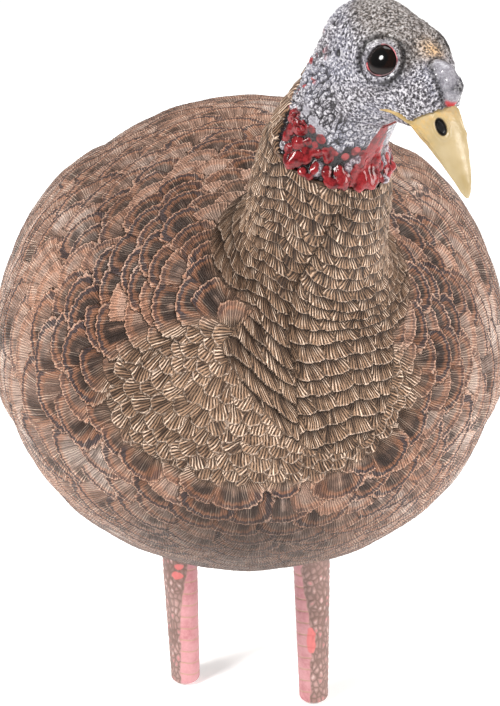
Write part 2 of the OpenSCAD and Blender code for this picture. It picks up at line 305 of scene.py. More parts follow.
def cast_solid(tree, start, end, reach, rings, sectors):
    """Points and faces of a closed solid: where rays that come in square to an axis first meet a surface"""
    start, end = np.array(start), np.array(end)
    along = unit(end - start)
    side = unit(np.cross(along, [0.3, 0.1, 0.9]))
    up = np.cross(side, along)
    radius = np.full((rings, sectors), np.nan)
    centres = start + (end - start) * np.linspace(0, 1, rings)[:, None]
    angles = 2 * math.pi * np.arange(sectors) / sectors
    rays = np.cos(angles)[:, None] * side + np.sin(angles)[:, None] * up
    for i, centre in enumerate(centres):
        for j, ray in enumerate(rays):
            hit, normal, _, _ = tree.ray_cast(Vector(centre + ray * reach), Vector(-ray), reach)
            if hit is not None and normal.dot(Vector(ray)) > 0:
                radius[i, j] = (np.array(hit) - centre) @ ray
    # Rays that met nothing take the mean of their neighbours, over and over
    gaps = np.isnan(radius)
    radius[gaps] = np.nanmean(radius)
    for _ in range(300):
        padded = np.pad(np.pad(radius, ((1, 1), (0, 0)), "edge"), ((0, 0), (1, 1)), "wrap")
        mean = (padded[:-2, 1:-1] + padded[2:, 1:-1] + padded[1:-1, :-2] + padded[1:-1, 2:]) / 4
        radius[gaps] = mean[gaps]
    points = centres[:, None] + rays[None] * radius[..., None]
    # Turned over, so that they look outwards
    quads, foot, head = capped_faces(rings, sectors)
    faces = [quads[:, [0, 3, 2, 1]], foot[:, [1, 0, 2]], head[:, [1, 0, 2]]]
    return np.vstack([points.reshape(-1, 3), start, end]), faces


def tube(path, radii, sides=20, loop=False, reference=(0.21, 0.31, 0.93)):
    """Points and faces of a round tube along a path, closed unless it is a loop; they look inwards"""
    path = np.asarray(path, float)
    count = len(path)
    radii = np.broadcast_to(np.asarray(radii, float), count)
    tangent = np.roll(path, -1, 0) - np.roll(path, 1, 0) if loop else np.gradient(path, axis=0)
    side = unit(np.cross(unit(tangent), reference))
    up = np.cross(side, unit(tangent))
    angle = 2 * math.pi * np.arange(sides) / sides
    ring = np.cos(angle)[None, :, None] * side[:, None] + np.sin(angle)[None, :, None] * up[:, None]
    points = (path[:, None] + ring * radii[:, None, None]).reshape(-1, 3)
    if loop:
        return points, [grid_quads(count, sides, join_rows=True, join_columns=True)]
    return np.vstack([points, path[0], path[-1]]), capped_faces(count, sides)


def ball(centre, radius, tall=1):
    turn = np.linspace(0.06, math.pi - 0.06, 12)
    path = np.asarray(centre) - np.cos(turn)[:, None] * radius * np.array([0, 0, tall])
    return tube(path, np.sin(turn) * radius, reference=(0, 1, 0))


def edges_of(quads):
    pairs = np.vstack([quads[:, [a, (a + 1) % 4]] for a in range(4)])
    return np.unique(np.sort(pairs, axis=1), axis=0)


def relax(values, edges, weight, rounds):
    """Laplacian smoothing of values at points, as strong at each point as its weight"""
    count = np.bincount(edges.ravel(), minlength=len(values)).astype(float)
    flat = values.reshape(len(values), -1).copy()
    weight = np.broadcast_to(np.asarray(weight, float).reshape(-1, 1), (len(values), 1))
    for _ in range(rounds):
        total = np.stack([
            np.bincount(edges[:, 0], column[edges[:, 1]], len(flat))
            + np.bincount(edges[:, 1], column[edges[:, 0]], len(flat))
            for column in flat.T
        ], -1)
        flat += weight * (total / count[:, None] - flat)
    return flat.reshape(values.shape)


# ---- Camera, light and floor ----

SCENE_MIDDLE = (0, 0, 0.12)
FLOOR_REACH = 6
# Each light: place, size, watts and colour
LIGHTS = {
    "KeyLight": [(-1.5, -1.1, 1.8), 0.8, 80, (1, 0.985, 0.965)],
    "FillLight": [(1.9, -0.9, 1.1), 1.4, 64, (1, 0.97, 0.94)],
    "TopLight": [(0.1, 0.7, 2.2), 1.4, 27, (1, 1, 1)],
}


def build_stage():
    camera_data = bpy.data.cameras.new("Camera")
    camera_data.sensor_fit = "VERTICAL"
    camera_data.sensor_height = 36
    camera_data.lens = 88.5
    camera = add_object("Camera", camera_data)
    camera.location = (0, -0.913, 0.515)
    camera.rotation_euler = (math.radians(90 - 22.9), 0, 0)
    bpy.context.scene.camera = camera

    for name, (place, size, watts, colour) in LIGHTS.items():
        light = bpy.data.lights.new(name, "AREA")
        light.shape = "DISK"
        light.size = size
        light.energy = watts
        light.color = colour
        ob = add_object(name, light)
        ob.location = place
        ob.rotation_euler = (Vector(SCENE_MIDDLE) - ob.location).to_track_quat("-Z", "Y").to_euler()
    world = bpy.data.worlds.new("Studio")
    world.use_nodes = True
    world.node_tree.nodes["Background"].inputs["Color"].default_value = (1, 1, 1, 1)
    world.node_tree.nodes["Background"].inputs["Strength"].default_value = 0.3
    bpy.context.scene.world = world
    bpy.context.scene.view_settings.view_transform = "Standard"

    level = cad_box[0][2] - 1 * MM
    corners = [[x * FLOOR_REACH, y * FLOOR_REACH, level] for x, y in ((-1, -1), (1, -1), (1, 1), (-1, 1))]
    floor = add_object("floor", mesh_from("floor", corners, [np.array([[0, 1, 2, 3]])]))
    p = Shader("floor_paint")
    colour = p.mix(p.noise(40, detail=3), "#f8f8f8", "#fbfbfb")
    floor.data.materials.append(p.finish(colour, 0.9, Emission_Color=(1, 1, 1, 1), Emission_Strength=0.3))


# ---- Materials ----

def linear(hex_colour):
    srgb = [int(hex_colour[i:i + 2], 16) / 255 for i in (1, 3, 5)]
    return [*(c / 12.92 if c <= 0.04045 else ((c + 0.055) / 1.055) ** 2.4 for c in srgb), 1]


class Wire:
    """A number or a colour on its way between a material's nodes; numbers take plain arithmetic"""

    def __init__(self, shader, socket):
        self.shader = shader
        self.socket = socket

    def __add__(self, other):
        return self.shader.math("ADD", self, other)

    def __sub__(self, other):
        return self.shader.math("SUBTRACT", self, other)

    def __rsub__(self, other):
        return self.shader.math("SUBTRACT", other, self)

    def __mul__(self, other):
        return self.shader.math("MULTIPLY", self, other)

    def __truediv__(self, other):
        return self.shader.math("DIVIDE", self, other)


class Shader:
    """A node material, with a short call for each kind of node that this object needs"""

    def __init__(self, name):
        self.material = bpy.data.materials.new(name)
        self.material.use_nodes = True
        self.nodes = self.material.node_tree.nodes
        self.links = self.material.node_tree.links
        self.bsdf = self.nodes["Principled BSDF"]
        self.place = self.node("ShaderNodeTexCoord", "Object", {})

    def feed(self, socket, value):
        if isinstance(value, Wire):
            self.links.new(value.socket, socket)
        else:
            socket.default_value = linear(value) if isinstance(value, str) else value

    def node(self, kind, output, inputs, **settings):
        node = self.nodes.new(kind)
        for key, value in settings.items():
            setattr(node, key, value)
        for key, value in inputs.items():
            self.feed(node.inputs[key], value)
        return Wire(self, node.outputs[output])

    def value(self, name):
        """A number stored at each point of the mesh, or 0 where a mesh has none by that name"""
        return self.node("ShaderNodeAttribute", "Fac", {}, attribute_name=name)

    def math(self, operation, *values):
        return self.node("ShaderNodeMath", 0, dict(enumerate(values)), operation=operation)

    def step(self, value, low, high, start=0.0, end=1.0):
        """Smooth change from start to end as the value goes from low to high"""
        inputs = {"Value": value, "From Min": low, "From Max": high, "To Min": start, "To Max": end}
        return self.node("ShaderNodeMapRange", "Result", inputs, interpolation_type="SMOOTHSTEP")

    def mix(self, factor, a, b):
        return self.node("ShaderNodeMix", 2, {0: factor, 6: a, 7: b}, data_type="RGBA")

    def fade(self, value, low, high, a, b):
        """Colour that goes from a to b as the value goes from low to high"""
        return self.mix(self.step(value, low, high), a, b)

    def coats(self, ground, *coats):
        """Colour of a ground after coats of paint, each given as its cover and its colour"""
        for cover, colour in coats:
            ground = self.mix(cover, ground, colour)
        return ground

    def noise(self, scale, detail=2, rough=0.5, vector=None):
        inputs = {"Vector": vector or self.place, "Scale": scale, "Detail": detail, "Roughness": rough}
        return self.node("ShaderNodeTexNoise", "Fac", inputs)

    def cells(self, scale):
        """Distance to the nearest scattered cell centre, in cell sizes"""
        return self.node("ShaderNodeTexVoronoi", "Distance", {"Vector": self.place, "Scale": scale})

    def waves(self, phase):
        """Ridges from 0 to 1, one for each whole number of the phase"""
        return self.math("MULTIPLY_ADD", self.math("SINE", phase * (2 * math.pi)), 0.5, 0.5)

    def bump(self, height, strength, distance):
        return self.node(
            "ShaderNodeBump", "Normal", {"Height": height, "Strength": strength, "Distance": distance})

    def finish(self, colour, roughness, normal=None, **uniform):
        self.feed(self.bsdf.inputs["Base Color"], colour)
        self.feed(self.bsdf.inputs["Roughness"], roughness)
        if normal is not None:
            self.feed(self.bsdf.inputs["Normal"], normal)
        for key, value in uniform.items():
            self.bsdf.inputs[key.replace("_", " ")].default_value = value
        return self.material


def plumage_paint(name):
    """Brown moulded feathers: pale dry-brushed barbs, dark grooves, rust and dark lines inside each tip, and
    painted shade under and between feathers and low on the body
    """
    p = Shader(name)
    rim, side, luck, tone, bars, dusk = map(p.value, ("rim", "side", "luck", "tone", "bars", "dusk"))
    phase, along, wing, crevice_shade_and_shaft, painted_shade = map(p.value, ("phase", "along", "wing", "crevice_shade_and_shaft", "painted_shade"))

    def by_tone(patterned, plain):
        return p.step(tone, 0, 1, patterned, plain)

    wobble = p.noise(260)
    strand = p.noise(700, detail=3, rough=0.65)
    blotch = p.noise(32, detail=3, rough=0.6)
    barb = p.waves(phase + wobble * 0.9)
    lock_place = {"X": phase * 0.5, "Y": luck * 40.0, "Z": rim * 0.07}
    locks = p.noise(1, rough=0.6, vector=p.node("ShaderNodeCombineXYZ", 0, lock_place))
    inward = rim + (wobble - 0.5) * 1.6

    dark_side = p.step(side, -0.1, 0.25) * p.step(rim, 3, 6) * p.step(luck + blotch * 0.6, 0.55, 0.9)
    cross_bars = p.fade(p.waves(along / 6.5 + wobble * 0.9), 0.4, 0.75, "#4b3b33", "#c9b2a0")
    dark_band = p.step(inward, 0.6, 1.4) * p.step(inward, 9.5, 7.0) * p.step(blotch * 0.9 + luck, 0.4, 0.75)
    rust = p.step(inward, 0, 0.4) * p.step(inward, 5.2, 3.6)
    line = p.step(inward, 0.9, 1.3) * p.step(inward, 3.0, 2.5)
    groove = p.step(barb, 0.68, 0.12) * p.step(strand, 0.3, 0.6, 0.5, 1)
    darkness = p.math("MAXIMUM", line * (bars - dusk), dusk)
    ridge = p.step(barb, 0.6, 0.95) * p.step(locks, 0.5, 0.62) * p.step(darkness, 0, 1, 1, 0.4)
    feather = p.coats(
        # Pinkish buff to grey-brown, each feather a little different
        p.fade(luck, 0.1, 0.9, "#d0b09f", "#96796b"),
        (p.step(p.noise(9), 0.35, 0.65, 0, 0.7), "#cfa087"),
        (p.step(blotch, 0.48, 0.7, 0, 0.8), "#f0dacd"),
        # The pattern: a dark side, bars across wing and tail, dark shoulders, and lines inside the tip
        (dark_side * bars * 0.8, "#453229"),
        (wing * 0.6, cross_bars),
        (dark_band * dusk * 0.9, "#2e231f"),
        (rust * bars * 0.5, "#b97c5a"),
        (line * bars * p.step(blotch + luck * 0.35, 0.42, 0.75, 0.2, 0.85), "#34333b"),
        # Breast and neck are paler and plainer
        (tone, p.fade(blotch, 0.3, 0.7, "#8f6f57", "#b39176")),
        # A dark wash between barbs and locks of barbs, and dry-brushing on the barbs and the edges
        (groove * by_tone(0.45, 0.96), "#180e08"),
        (p.step(locks, 0.52, 0.34) * by_tone(0.4, 0.8), "#2a1c14"),
        (ridge * by_tone(0.55, 0.85), "#efd5bf"),
        (p.step(rim, 1.1, 0.1) * p.step(strand, 0.35, 0.6) * by_tone(0.3, 0.85), "#e6ccb8"),
        # Painted shade where one feather goes under the next and at the foot of each step between feathers, a
        # dark shaft line down each tail feather, and painted shade low on the body
        (p.step(rim, 2.4, 7.5) * by_tone(0.2, 0.78), "#241710"),
        (crevice_shade_and_shaft * by_tone(0.9, 0.75), "#1c120c"),
        (painted_shade * 0.95, "#3a2a21"),
    )
    relief = barb + (strand * 0.4 + p.step(locks, 0.35, 0.55) * 0.9)
    roughness = p.step(strand, 0.2, 0.8, 0.42, 0.62)
    return p.finish(feather, roughness, p.bump(relief, 1.0, 0.0009), Metallic=0.05, Specular_IOR_Level=0.22)


def head_paint():
    """Bare grey skin, dark in its pits and dry-brushed white, with red caruncles"""
    p = Shader("head_paint")
    cavity, red, shade, crown = map(p.value, ("cavity", "red", "shade", "crown"))
    warm, pale, tip = map(p.value, ("warm", "pale", "tip"))
    grain = p.noise(900, detail=3, rough=0.6)
    speckle = p.step(grain, 0.3, 0.7)
    blotch = p.noise(60)
    pit = p.step(p.cells(1150), 0.42, 0.12)
    flesh = p.coats(
        p.mix(speckle, "#651317", "#862428"),
        (p.step(blotch, 0.5, 0.65, 0, 0.4), "#bb5f5f"),
        (p.step(p.noise(260), 0.5, 0.66, 0, 0.75), "#3c0d10"),
    )
    brushed = p.step(cavity, 0.35, 0.05) * p.step(grain, 0.42, 0.6)
    skin = p.coats(
        p.mix(speckle, "#423e44", "#86828a"),
        (p.step(blotch, 0.4, 0.7, 0, 0.5), "#787a8a"),
        (crown * 0.85, p.fade(grain, 0.35, 0.65, "#443b34", "#70665c")),
        (brushed * p.step(crown, 0, 1, 0.6, 0.3), "#d6d4d8"),
        (warm * p.step(grain, 0.35, 0.55, 0.1, 0.7), "#cfa673"),
        (pit * 0.85, "#171315"),
        (pale * 0.85, p.mix(speckle, "#77747b", "#939198")),
        (shade * 0.85, "#151214"),
        (red * p.step(red + blotch * 0.5, 0.55, 0.95), flesh),
        (tip, "#9c2830"),
        (p.step(cavity, 0.15, 0.8) * 0.93, "#0f0b0c"),
    )
    plain = p.math("MAXIMUM", red, pale) * 0.9
    relief = (grain * 0.5 - pit * 0.7) * (1.0 - plain)
    roughness = p.mix(plain, "#8f8f8f", "#5a5a5a")
    return p.finish(skin, roughness, p.bump(relief, 0.8, 0.0005), Specular_IOR_Level=0.35)


def socket_paint():
    """Unpainted brown plastic of the neck's open end"""
    p = Shader("neck_socket_paint")
    grain = p.noise(500, detail=3)
    colour = p.fade(grain, 0.35, 0.65, "#4a3629", "#6b5140")
    return p.finish(colour, p.step(grain, 0.2, 0.8, 0.5, 0.65), p.bump(grain, 0.4, 0.0004))


def beak_paint():
    """Pale yellow horn, warmer at its root, dark in the mouth line and the nostrils"""
    p = Shader("beak_paint")
    grain = p.noise(500, detail=3, rough=0.6)
    horn = p.coats(
        p.fade(p.noise(70), 0.3, 0.7, "#8f7c52", "#a39270"),
        (p.value("root") * p.step(grain, 0.4, 0.6, 0.1, 0.5), "#b58f49"),
        (p.step(grain, 0.62, 0.75, 0, 0.25), "#9a7d4c"),
        (p.value("cavity") * 0.75, "#5b4526"),
        (p.value("hole"), "#0c0a09"),
    )
    roughness = p.step(grain, 0.2, 0.8, 0.34, 0.5)
    return p.finish(horn, roughness, p.bump(grain, 0.35, 0.0003), Specular_IOR_Level=0.5)


def eye_paint(side):
    """Near-black iris round a black pupil, under a clear gloss"""
    p = Shader(f"{side}_eye_paint")
    reach = p.value("reach")
    fleck = p.noise(1600)
    iris = p.fade(fleck, 0.35, 0.65, "#0a0403", "#170a06")
    colour = p.fade(reach, 6.0, 6.8, p.fade(reach, 3.6, 4.2, "#050404", iris), "#080505")
    roughness = p.step(fleck, 0, 1, 0.1, 0.16)
    return p.finish(colour, roughness, Specular_IOR_Level=0.12, Coat_Weight=0.3, Coat_Roughness=0.03)


def lid_paint(side):
    """Red edge of an eyelid, worn dark in places"""
    p = Shader(f"{side}_lid_paint")
    grain = p.noise(900)
    flesh = p.fade(grain, 0.35, 0.65, "#a93a42", "#d07c80")
    flesh = p.mix(p.step(p.noise(110, detail=1), 0.38, 0.5, 0, 0.92), flesh, "#3a2f33")
    return p.finish(flesh, p.step(grain, 0, 1, 0.35, 0.5))


def leg_paint(side):
    """Grey-brown scales with pale hearts, pink plates down the inner side and a few coral patches"""
    p = Shader(f"{side}_leg_paint")
    plate = p.value("plate")
    grain = p.noise(420, detail=3, rough=0.6)
    drift = p.noise(38)
    scale = p.coats(
        p.fade(grain, 0.35, 0.65, "#ae8580", "#c4aea9"),
        (p.step(p.noise(170, detail=1), 0.5, 0.6, 0, 0.7), "#b9666c"),
    )
    plates = p.coats(
        p.fade(grain, 0.3, 0.7, "#a8686d", "#b98083"),
        (p.step(drift, 0.4, 0.65, 0, 0.5), "#c9969a"),
    )
    skin = p.coats(
        p.fade(drift, 0.35, 0.65, "#7f625a", "#957770"),
        (p.value("heart"), scale),
        (plate, plates),
        (p.value("cavity") * 0.65, p.mix(plate, "#5d463e", "#a48f6a")),
        (p.value("spot") * 0.85, "#cf6a68"),
    )
    return p.finish(skin, p.step(grain, 0.2, 0.8, 0.4, 0.56), p.bump(grain, 0.4, 0.0003))


def plastic_paint():
    """Black moulded nylon with a fine spark-eroded grain"""
    p = Shader("black_plastic_paint")
    drift = p.noise(45)
    colour = p.fade(drift, 0.3, 0.7, "#1b1c1e", "#26282a")
    return p.finish(colour, p.step(drift, 0.3, 0.7, 0.42, 0.55), p.bump(p.noise(1500), 0.25, 0.0002))


def steel_paint():
    p = Shader("steel_paint")
    grain = p.noise(600, detail=3, rough=0.7)
    colour = p.fade(grain, 0.3, 0.7, "#a9abad", "#c6c8ca")
    return p.finish(colour, p.step(grain, 0.2, 0.8, 0.22, 0.36), p.bump(grain, 0.15, 0.0001), Metallic=1.0)


# ---- Skin: one smooth surface round the body, wings and neck ----

COARSE = 3.0 * MM
FINE_LEVELS = 2
QUADS_PER_FACE = 4 ** FINE_LEVELS
BELLY_HOLE = 17.6 * MM
NECK_RADIUS = 28.4 * MM
# Level of the rim of the neck's opening above the seam
RIM_LEVEL = -0.3 * MM
# Fill of the crease between neck and breast: x, y, z and radius in millimetres
BIB = [
    (41, -140, 246, 22), (40, -133, 232, 30), (37, -128, 215, 34), (33, -126, 195, 37), (28, -124, 175, 39),
    (24, -122, 158, 36), (20, -116, 140, 24),
]
# The rump as it thins towards the tail: y, z, half height and half width in millimetres
RUMP = [
    (225, 127, 20, 46), (250, 126.5, 19.5, 46), (275, 122, 15.5, 44), (300, 117, 10.5, 40), (326, 111.5, 5, 34),
]


def build_skin():
    """One surface round the CAD shells, wings and neck, coarse and fine"""
    breast_y, rump_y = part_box("left_body_shell")[0][1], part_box("left_body_shell")[1][1]
    shells = tree_of("left_body_shell", "right_body_shell", "left_wing", "right_wing")
    body = cast_solid(shells, (0, breast_y + 0.5 * MM, 0.147), (0, rump_y - 0.5 * MM, 0.121), 0.3, 110, 120)
    neck_points = points_of(nodes["neck"].data)
    foot = neck_points[neck_points[:, 2] < neck_points[:, 2].min() + 2 * MM].mean(0)
    neck = cast_solid(tree_of("neck"), foot, seam + neck_axis * 1.0 * MM, 0.12, 40, 64)
    stub_levels = np.linspace(-8, 14, 12)
    stub = tube(seam + neck_axis * stub_levels[:, None] * MM, NECK_RADIUS, sides=64)
    bib_path = np.array(BIB) * MM
    bib = tube(bib_path[:, :3], bib_path[:, 3], sides=64)
    y, z, tall, wide = np.array(RUMP).T * MM
    rump_points, rump_faces = tube(np.stack([y * 0, y, z], -1), tall, sides=64)
    rump_points[:, 0] *= np.interp(rump_points[:, 1], y, wide / tall)
    points, quads = remeshed(*joined([body, neck, stub, bib, (rump_points, rump_faces)]), COARSE)
    edges = edges_of(quads)
    # A fillet where the neck rises out of the body
    off_neck, off_body = distances(tree_from(*neck), points), distances(tree_from(*body), points)
    corner = 1 - smooth_step(8 * MM, 38 * MM, np.maximum(off_neck, off_body))
    points = relax(points, edges, 0.5, 4)
    points = relax(points, edges, corner * 0.9, 130)
    points = relax(points, edges, 0.4, 2)
    # Points near the rim of the neck's opening are brought level with it
    level = (points - seam) @ neck_axis - RIM_LEVEL
    at_rim = (np.abs(level) < COARSE / 2) & (np.linalg.norm(points - seam, axis=1) < 40 * MM)
    points[at_rim] -= level[at_rim][:, None] * neck_axis
    return subdivided(points, quads, FINE_LEVELS)


# ---- Plumage: shingled feathers as relief on the skin ----

class Plumage:
    """Height and paint values at each fine point of a skin, where the topmost feather decides"""

    CELL = 12 * MM

    def __init__(self, points, normals):
        self.points = points
        self.normals = normals
        keys = self.key(np.floor(points / self.CELL).astype(np.int64))
        self.order = np.argsort(keys, kind="stable")
        sorted_keys = keys[self.order]
        unique, first = np.unique(sorted_keys, return_index=True)
        last = np.append(first[1:], len(keys))
        self.cells = {k: (a, b) for k, a, b in zip(unique.tolist(), first.tolist(), last.tolist())}
        count = len(points)
        self.height = np.zeros(count)
        names = ("rim", "side", "phase", "luck", "along", "wing")
        self.values = {name: np.zeros(count, np.float32) for name in names}

    @staticmethod
    def key(cell):
        return (cell[..., 0] + 512) * 1048576 + (cell[..., 1] + 512) * 1024 + (cell[..., 2] + 512)

    def near(self, centre, reach):
        low = np.floor((centre - reach) / self.CELL).astype(int)
        high = np.floor((centre + reach) / self.CELL).astype(int)
        grid = np.stack(np.meshgrid(*[np.arange(a, b + 1) for a, b in zip(low, high)], indexing="ij"), -1)
        found = [self.cells[k] for k in self.key(grid).ravel().tolist() if k in self.cells]
        if not found:
            return np.zeros(0, int)
        return np.concatenate([self.order[a:b] for a, b in found])

    def lay(self, centre, normal, along, kind, luck):
        """One feather: it rises from its root to its tip, and hides what is lower"""
        length, half = kind.length, kind.width / 2
        index = self.near(centre, 0.6 * max(length, kind.width))
        across = np.cross(normal, along)
        if across[2] > 0:
            across = -across
        offset = self.points[index] - centre
        s = offset @ along + length / 2
        t = offset @ across
        shoulder = length - kind.tip
        beyond = np.clip((s - shoulder) / kind.tip, 0, None)
        fan = np.arctan2(t, s + kind.fan)
        turns = fan * kind.barbs
        notch = 0.035 * np.sin(turns * 0.37 + luck * 40) + 0.02 * np.sin(turns * 0.9 + luck * 9)
        radius = np.hypot(t / half, beyond) + notch
        flat = (np.abs(offset @ normal) < 0.45 * length) & (self.normals[index] @ normal > 0.2)
        inside = (radius < 1) & (s > 0) & flat
        index, s, t, radius, fan = index[inside], s[inside], t[inside], radius[inside], fan[inside]
        height = kind.lift * (s / length) ** 1.1 * (1 - 0.22 * (t / half) ** 2) + kind.lift * 0.3 * (luck - 0.5)
        wins = height > self.height[index]
        index, s, t, radius, fan = index[wins], s[wins], t[wins], radius[wins], fan[wins]
        self.height[index] = height[wins]
        self.values["rim"][index] = (1 - radius) * min(half, kind.tip) / MM
        self.values["side"][index] = t / half
        self.values["phase"][index] = fan * kind.barbs / (2 * math.pi)
        self.values["luck"][index] = luck
        self.values["along"][index] = s / MM
        self.values["wing"][index] = kind.wing


def spread(points, normals, flows, along_gap, across_gap, order):
    """Picks points in the given order so that no two are closer than the gaps along and across the flow"""
    cell = 16 * MM
    cells = np.floor(points / cell).astype(int)
    taken = {}
    picks = []
    for i in order:
        p, c = points[i], cells[i]
        near = [
            j
            for dx in (-1, 0, 1) for dy in (-1, 0, 1) for dz in (-1, 0, 1)
            for j in taken.get((c[0] + dx, c[1] + dy, c[2] + dz), ())
        ]
        if near:
            away = points[near] - p
            s = away @ flows[i]
            t = away @ np.cross(normals[i], flows[i])
            if ((s / along_gap[i]) ** 2 + (t / across_gap[i]) ** 2 < 1).any():
                continue
        taken.setdefault(tuple(c), []).append(i)
        picks.append(i)
    return picks


neck_foot = np.array([0.006, -0.112, 0.190])
ROW_HEIGHT = 7
# The fold down the front of the neck: level in millimetres, and degrees to the bird's left of its front
FOLD = np.array(
    [(-158, -40), (-134, -39), (-112, -43), (-91, -53), (-72, -56), (-55, -49), (-31, -37), (-10, -26)])


def neck_place(points):
    """Millimetres left of and forward of the neck's middle line, and above its top"""
    x, y, z = to_head(points).T
    return x + 0.33 * z, -0.04 * z - y, z


def from_fold(points):
    """Millimetres to the bird's left of the fold down the front of its neck"""
    x, forward, z = neck_place(points)
    fold_turn = np.radians(np.interp(z, FOLD[:, 0], FOLD[:, 1]))
    return (np.arctan2(x, forward) - fold_turn) * np.hypot(x, forward)


def row_feathers(points):
    """Rows of short feathers on the neck and breast: height, paint values, and their share of the skin"""
    x, forward, z = neck_place(points)
    fold = from_fold(points)
    away = np.abs(fold)
    front = smooth_step(-8, 12, forward)
    right = fold < 0
    low = smooth_step(-70, -90, z)
    swag = 0.3 * np.minimum(away, 30)
    swag = np.where(right, swag, swag * low + 6 * np.exp(-away / 10) * (1 - low)) * front
    around = np.arctan2(x, forward) * np.hypot(x, forward)
    row = (swag - z) / ROW_HEIGHT + 0.5 * right * front + 0.14 * value_noise(points, 16 * MM, 71)

    def feather_in(k):
        line = np.stack([k, right, k * 0], -1)
        width = 10.5 + 4 * lattice_random(line, 72)
        place = around / width + 9 * lattice_random(line, 73) + 0.15 * value_noise(points, 11 * MM, 74)
        luck = lattice_random(np.stack([k, right, np.floor(place)], -1), 75)
        return (place - np.floor(place)) * 2 - 1, width, luck

    number = np.floor(row)
    side, width, luck = feather_in(number)
    along = row - number + 0.13 * side ** 2 + 0.12 * (luck - 0.5)
    number = number + (along > 1)
    side, width, luck = feather_in(number)
    along = np.clip(row - number + 0.13 * side ** 2 + 0.12 * (luck - 0.5), 0, 1)
    height = (0.2 + 0.8 * along ** 1.5) * (1 - 0.25 * side ** 2) * (0.85 + 0.3 * luck)
    height = height - 0.2 * smooth_step(0.86, 1, np.abs(side))
    fan = np.arctan2(side * width / 2, along * ROW_HEIGHT + 9)
    values = {
        "rim": (1 - along) * ROW_HEIGHT, "side": side, "phase": fan * 10.5 + luck * 10, "luck": luck,
        "along": along * ROW_HEIGHT, "wing": np.zeros(len(z)),
    }
    neck = smooth_step(-98, -86, z) * smooth_step(14, 8, np.hypot(x, forward) - 28.5 + 0.12 * z)
    bib_reach = np.hypot((x - 0.33 * z - 8) / 38, (z + 92) / 48)
    bib = smooth_step(1.08, 0.92, bib_reach) * smooth_step(4, 16, forward)
    height = height * (0.25 + 0.75 * smooth_step(-0.5, -4, z))
    return 1.9 * MM * height, values, np.maximum(neck, bib)


def flow_at(points, normals):
    """Direction that feathers point at each place of the skin, and how far the place is on the neck"""
    level, off_axis = up_neck(points)
    on_neck = smooth_step(-95 * MM, -55 * MM, level) * smooth_step(0.08, 0.055, off_axis)
    rear = smooth_step(-0.02, 0.16, points[:, 1])[:, None]
    field = blend(unit(points - neck_foot), unit(np.array([0, 1, -0.18])), rear)
    field = blend(field, -neck_axis, on_neck[:, None])
    field -= (field * normals).sum(1, keepdims=True) * normals
    return unit(field), on_neck


def feather_sizes(points, on_neck):
    """Spacing, length, width and lift of the feathers, and how plain or dark their paint is"""
    x, y, z = points.T
    breast = np.hypot((x - 0.005) / 0.076, (z - 0.170) / 0.040)
    breast = smooth_step(1.1, 0.92, breast) * smooth_step(-0.05, -0.08, y)
    reach = np.linalg.norm(points - neck_foot, axis=1)
    shoulder = smooth_step(0.125, 0.085, reach) * (1 - breast)
    large = np.clip(1 - breast - shoulder, 0, 1)
    rear = smooth_step(0.08, 0.2, y)
    # Each size in millimetres: on the breast, the shoulders, the rest of the body and the neck
    kinds = {
        "gap": (4.8, 7.5, 9.5 + 3 * rear, 6.2),
        "across": (7, 17, 27, 6.8),
        "length": (13, 21, 36 + 12 * rear, 12.5),
        "width": (10.5, 28, 50 - 10 * rear, 11),
        "lift": (0.7, 2.3, 3.4, 2.0),
    }
    sizes = {}
    for key, (on_breast, on_shoulder, elsewhere, hackle) in kinds.items():
        body = breast * on_breast + shoulder * on_shoulder + large * elsewhere
        sizes[key] = blend(body, hackle, on_neck) * MM
    sizes["tone"] = np.clip(np.maximum(breast, on_neck), 0, 1)
    sizes["dusk"] = shoulder * (1 - on_neck)
    return sizes


# Sizes of the feathers on the wings, in millimetres
WING_SIZES = {"gap": 11, "across": 19, "length": 46, "width": 30, "lift": 4.6}


def dress(skin):
    """Lays all the feathers of the body, wings and neck"""
    plumage = Plumage(skin.points, skin.normals)
    points, normals = skin.coarse_points, skin.coarse_normals
    flows, on_neck = flow_at(points, normals)
    sizes = feather_sizes(points, on_neck)
    wing = np.zeros(len(points))
    for name in ("left_wing", "right_wing"):
        wing[on_node(name, points)] = 1
    backward = np.array([0, 1, -0.3]) - (normals @ [0, 1, -0.3])[:, None] * normals
    flows = unit(blend(flows, unit(backward), 0.8 * wing[:, None]))
    wing = wing * smooth_step(-0.06, 0.06, points[:, 1])
    for key, size in WING_SIZES.items():
        sizes[key] = blend(sizes[key], size * MM, wing)
    # They are laid ring by ring round the neck's foot, and down the neck
    level, _ = up_neck(points)
    rings = np.floor(blend(np.linalg.norm(points - neck_foot, axis=1), -level, on_neck) / (5 * MM))
    order = np.argsort(rings * 1000 + np.arctan2(points[:, 0], points[:, 2] - 0.13), kind="stable")
    _, _, rows_share = row_feathers(points)
    order = order[(rows_share < 0.95)[order]]
    for i in spread(points, normals, flows, sizes["gap"], sizes["across"], order):
        turn = rng.normal(0, 0.12 + 0.24 * sizes["tone"][i])
        along = flows[i] * math.cos(turn) + np.cross(normals[i], flows[i]) * math.sin(turn)
        grow = rng.uniform(0.92, 1.1)
        length, width = sizes["length"][i] * grow, sizes["width"][i] * grow
        pitch = (1.25 + 0.25 * sizes["tone"][i]) * MM
        blunt = 0.22 + 0.28 * sizes["tone"][i] + 0.06 * sizes["dusk"][i]
        kind = SimpleNamespace(
            length=length, width=width, tip=min(length * 0.6, width * blunt), lift=sizes["lift"][i],
            fan=length * 0.6, barbs=2 * math.pi * length * 1.35 / pitch, wing=wing[i])
        plumage.lay(points[i], normals[i], along, kind, rng.uniform())
    return plumage


def painted_crevice_shade(plumage, edges):
    """Painted shade at the foot of each step between feathers: how dark it is"""
    a, b = edges.T
    drop = plumage.height[a] - plumage.height[b]
    dark = np.zeros(len(plumage.height))
    np.maximum.at(dark, b, drop)
    np.maximum.at(dark, a, -drop)
    return smooth_step(0.15 * MM, 0.9 * MM, dark)


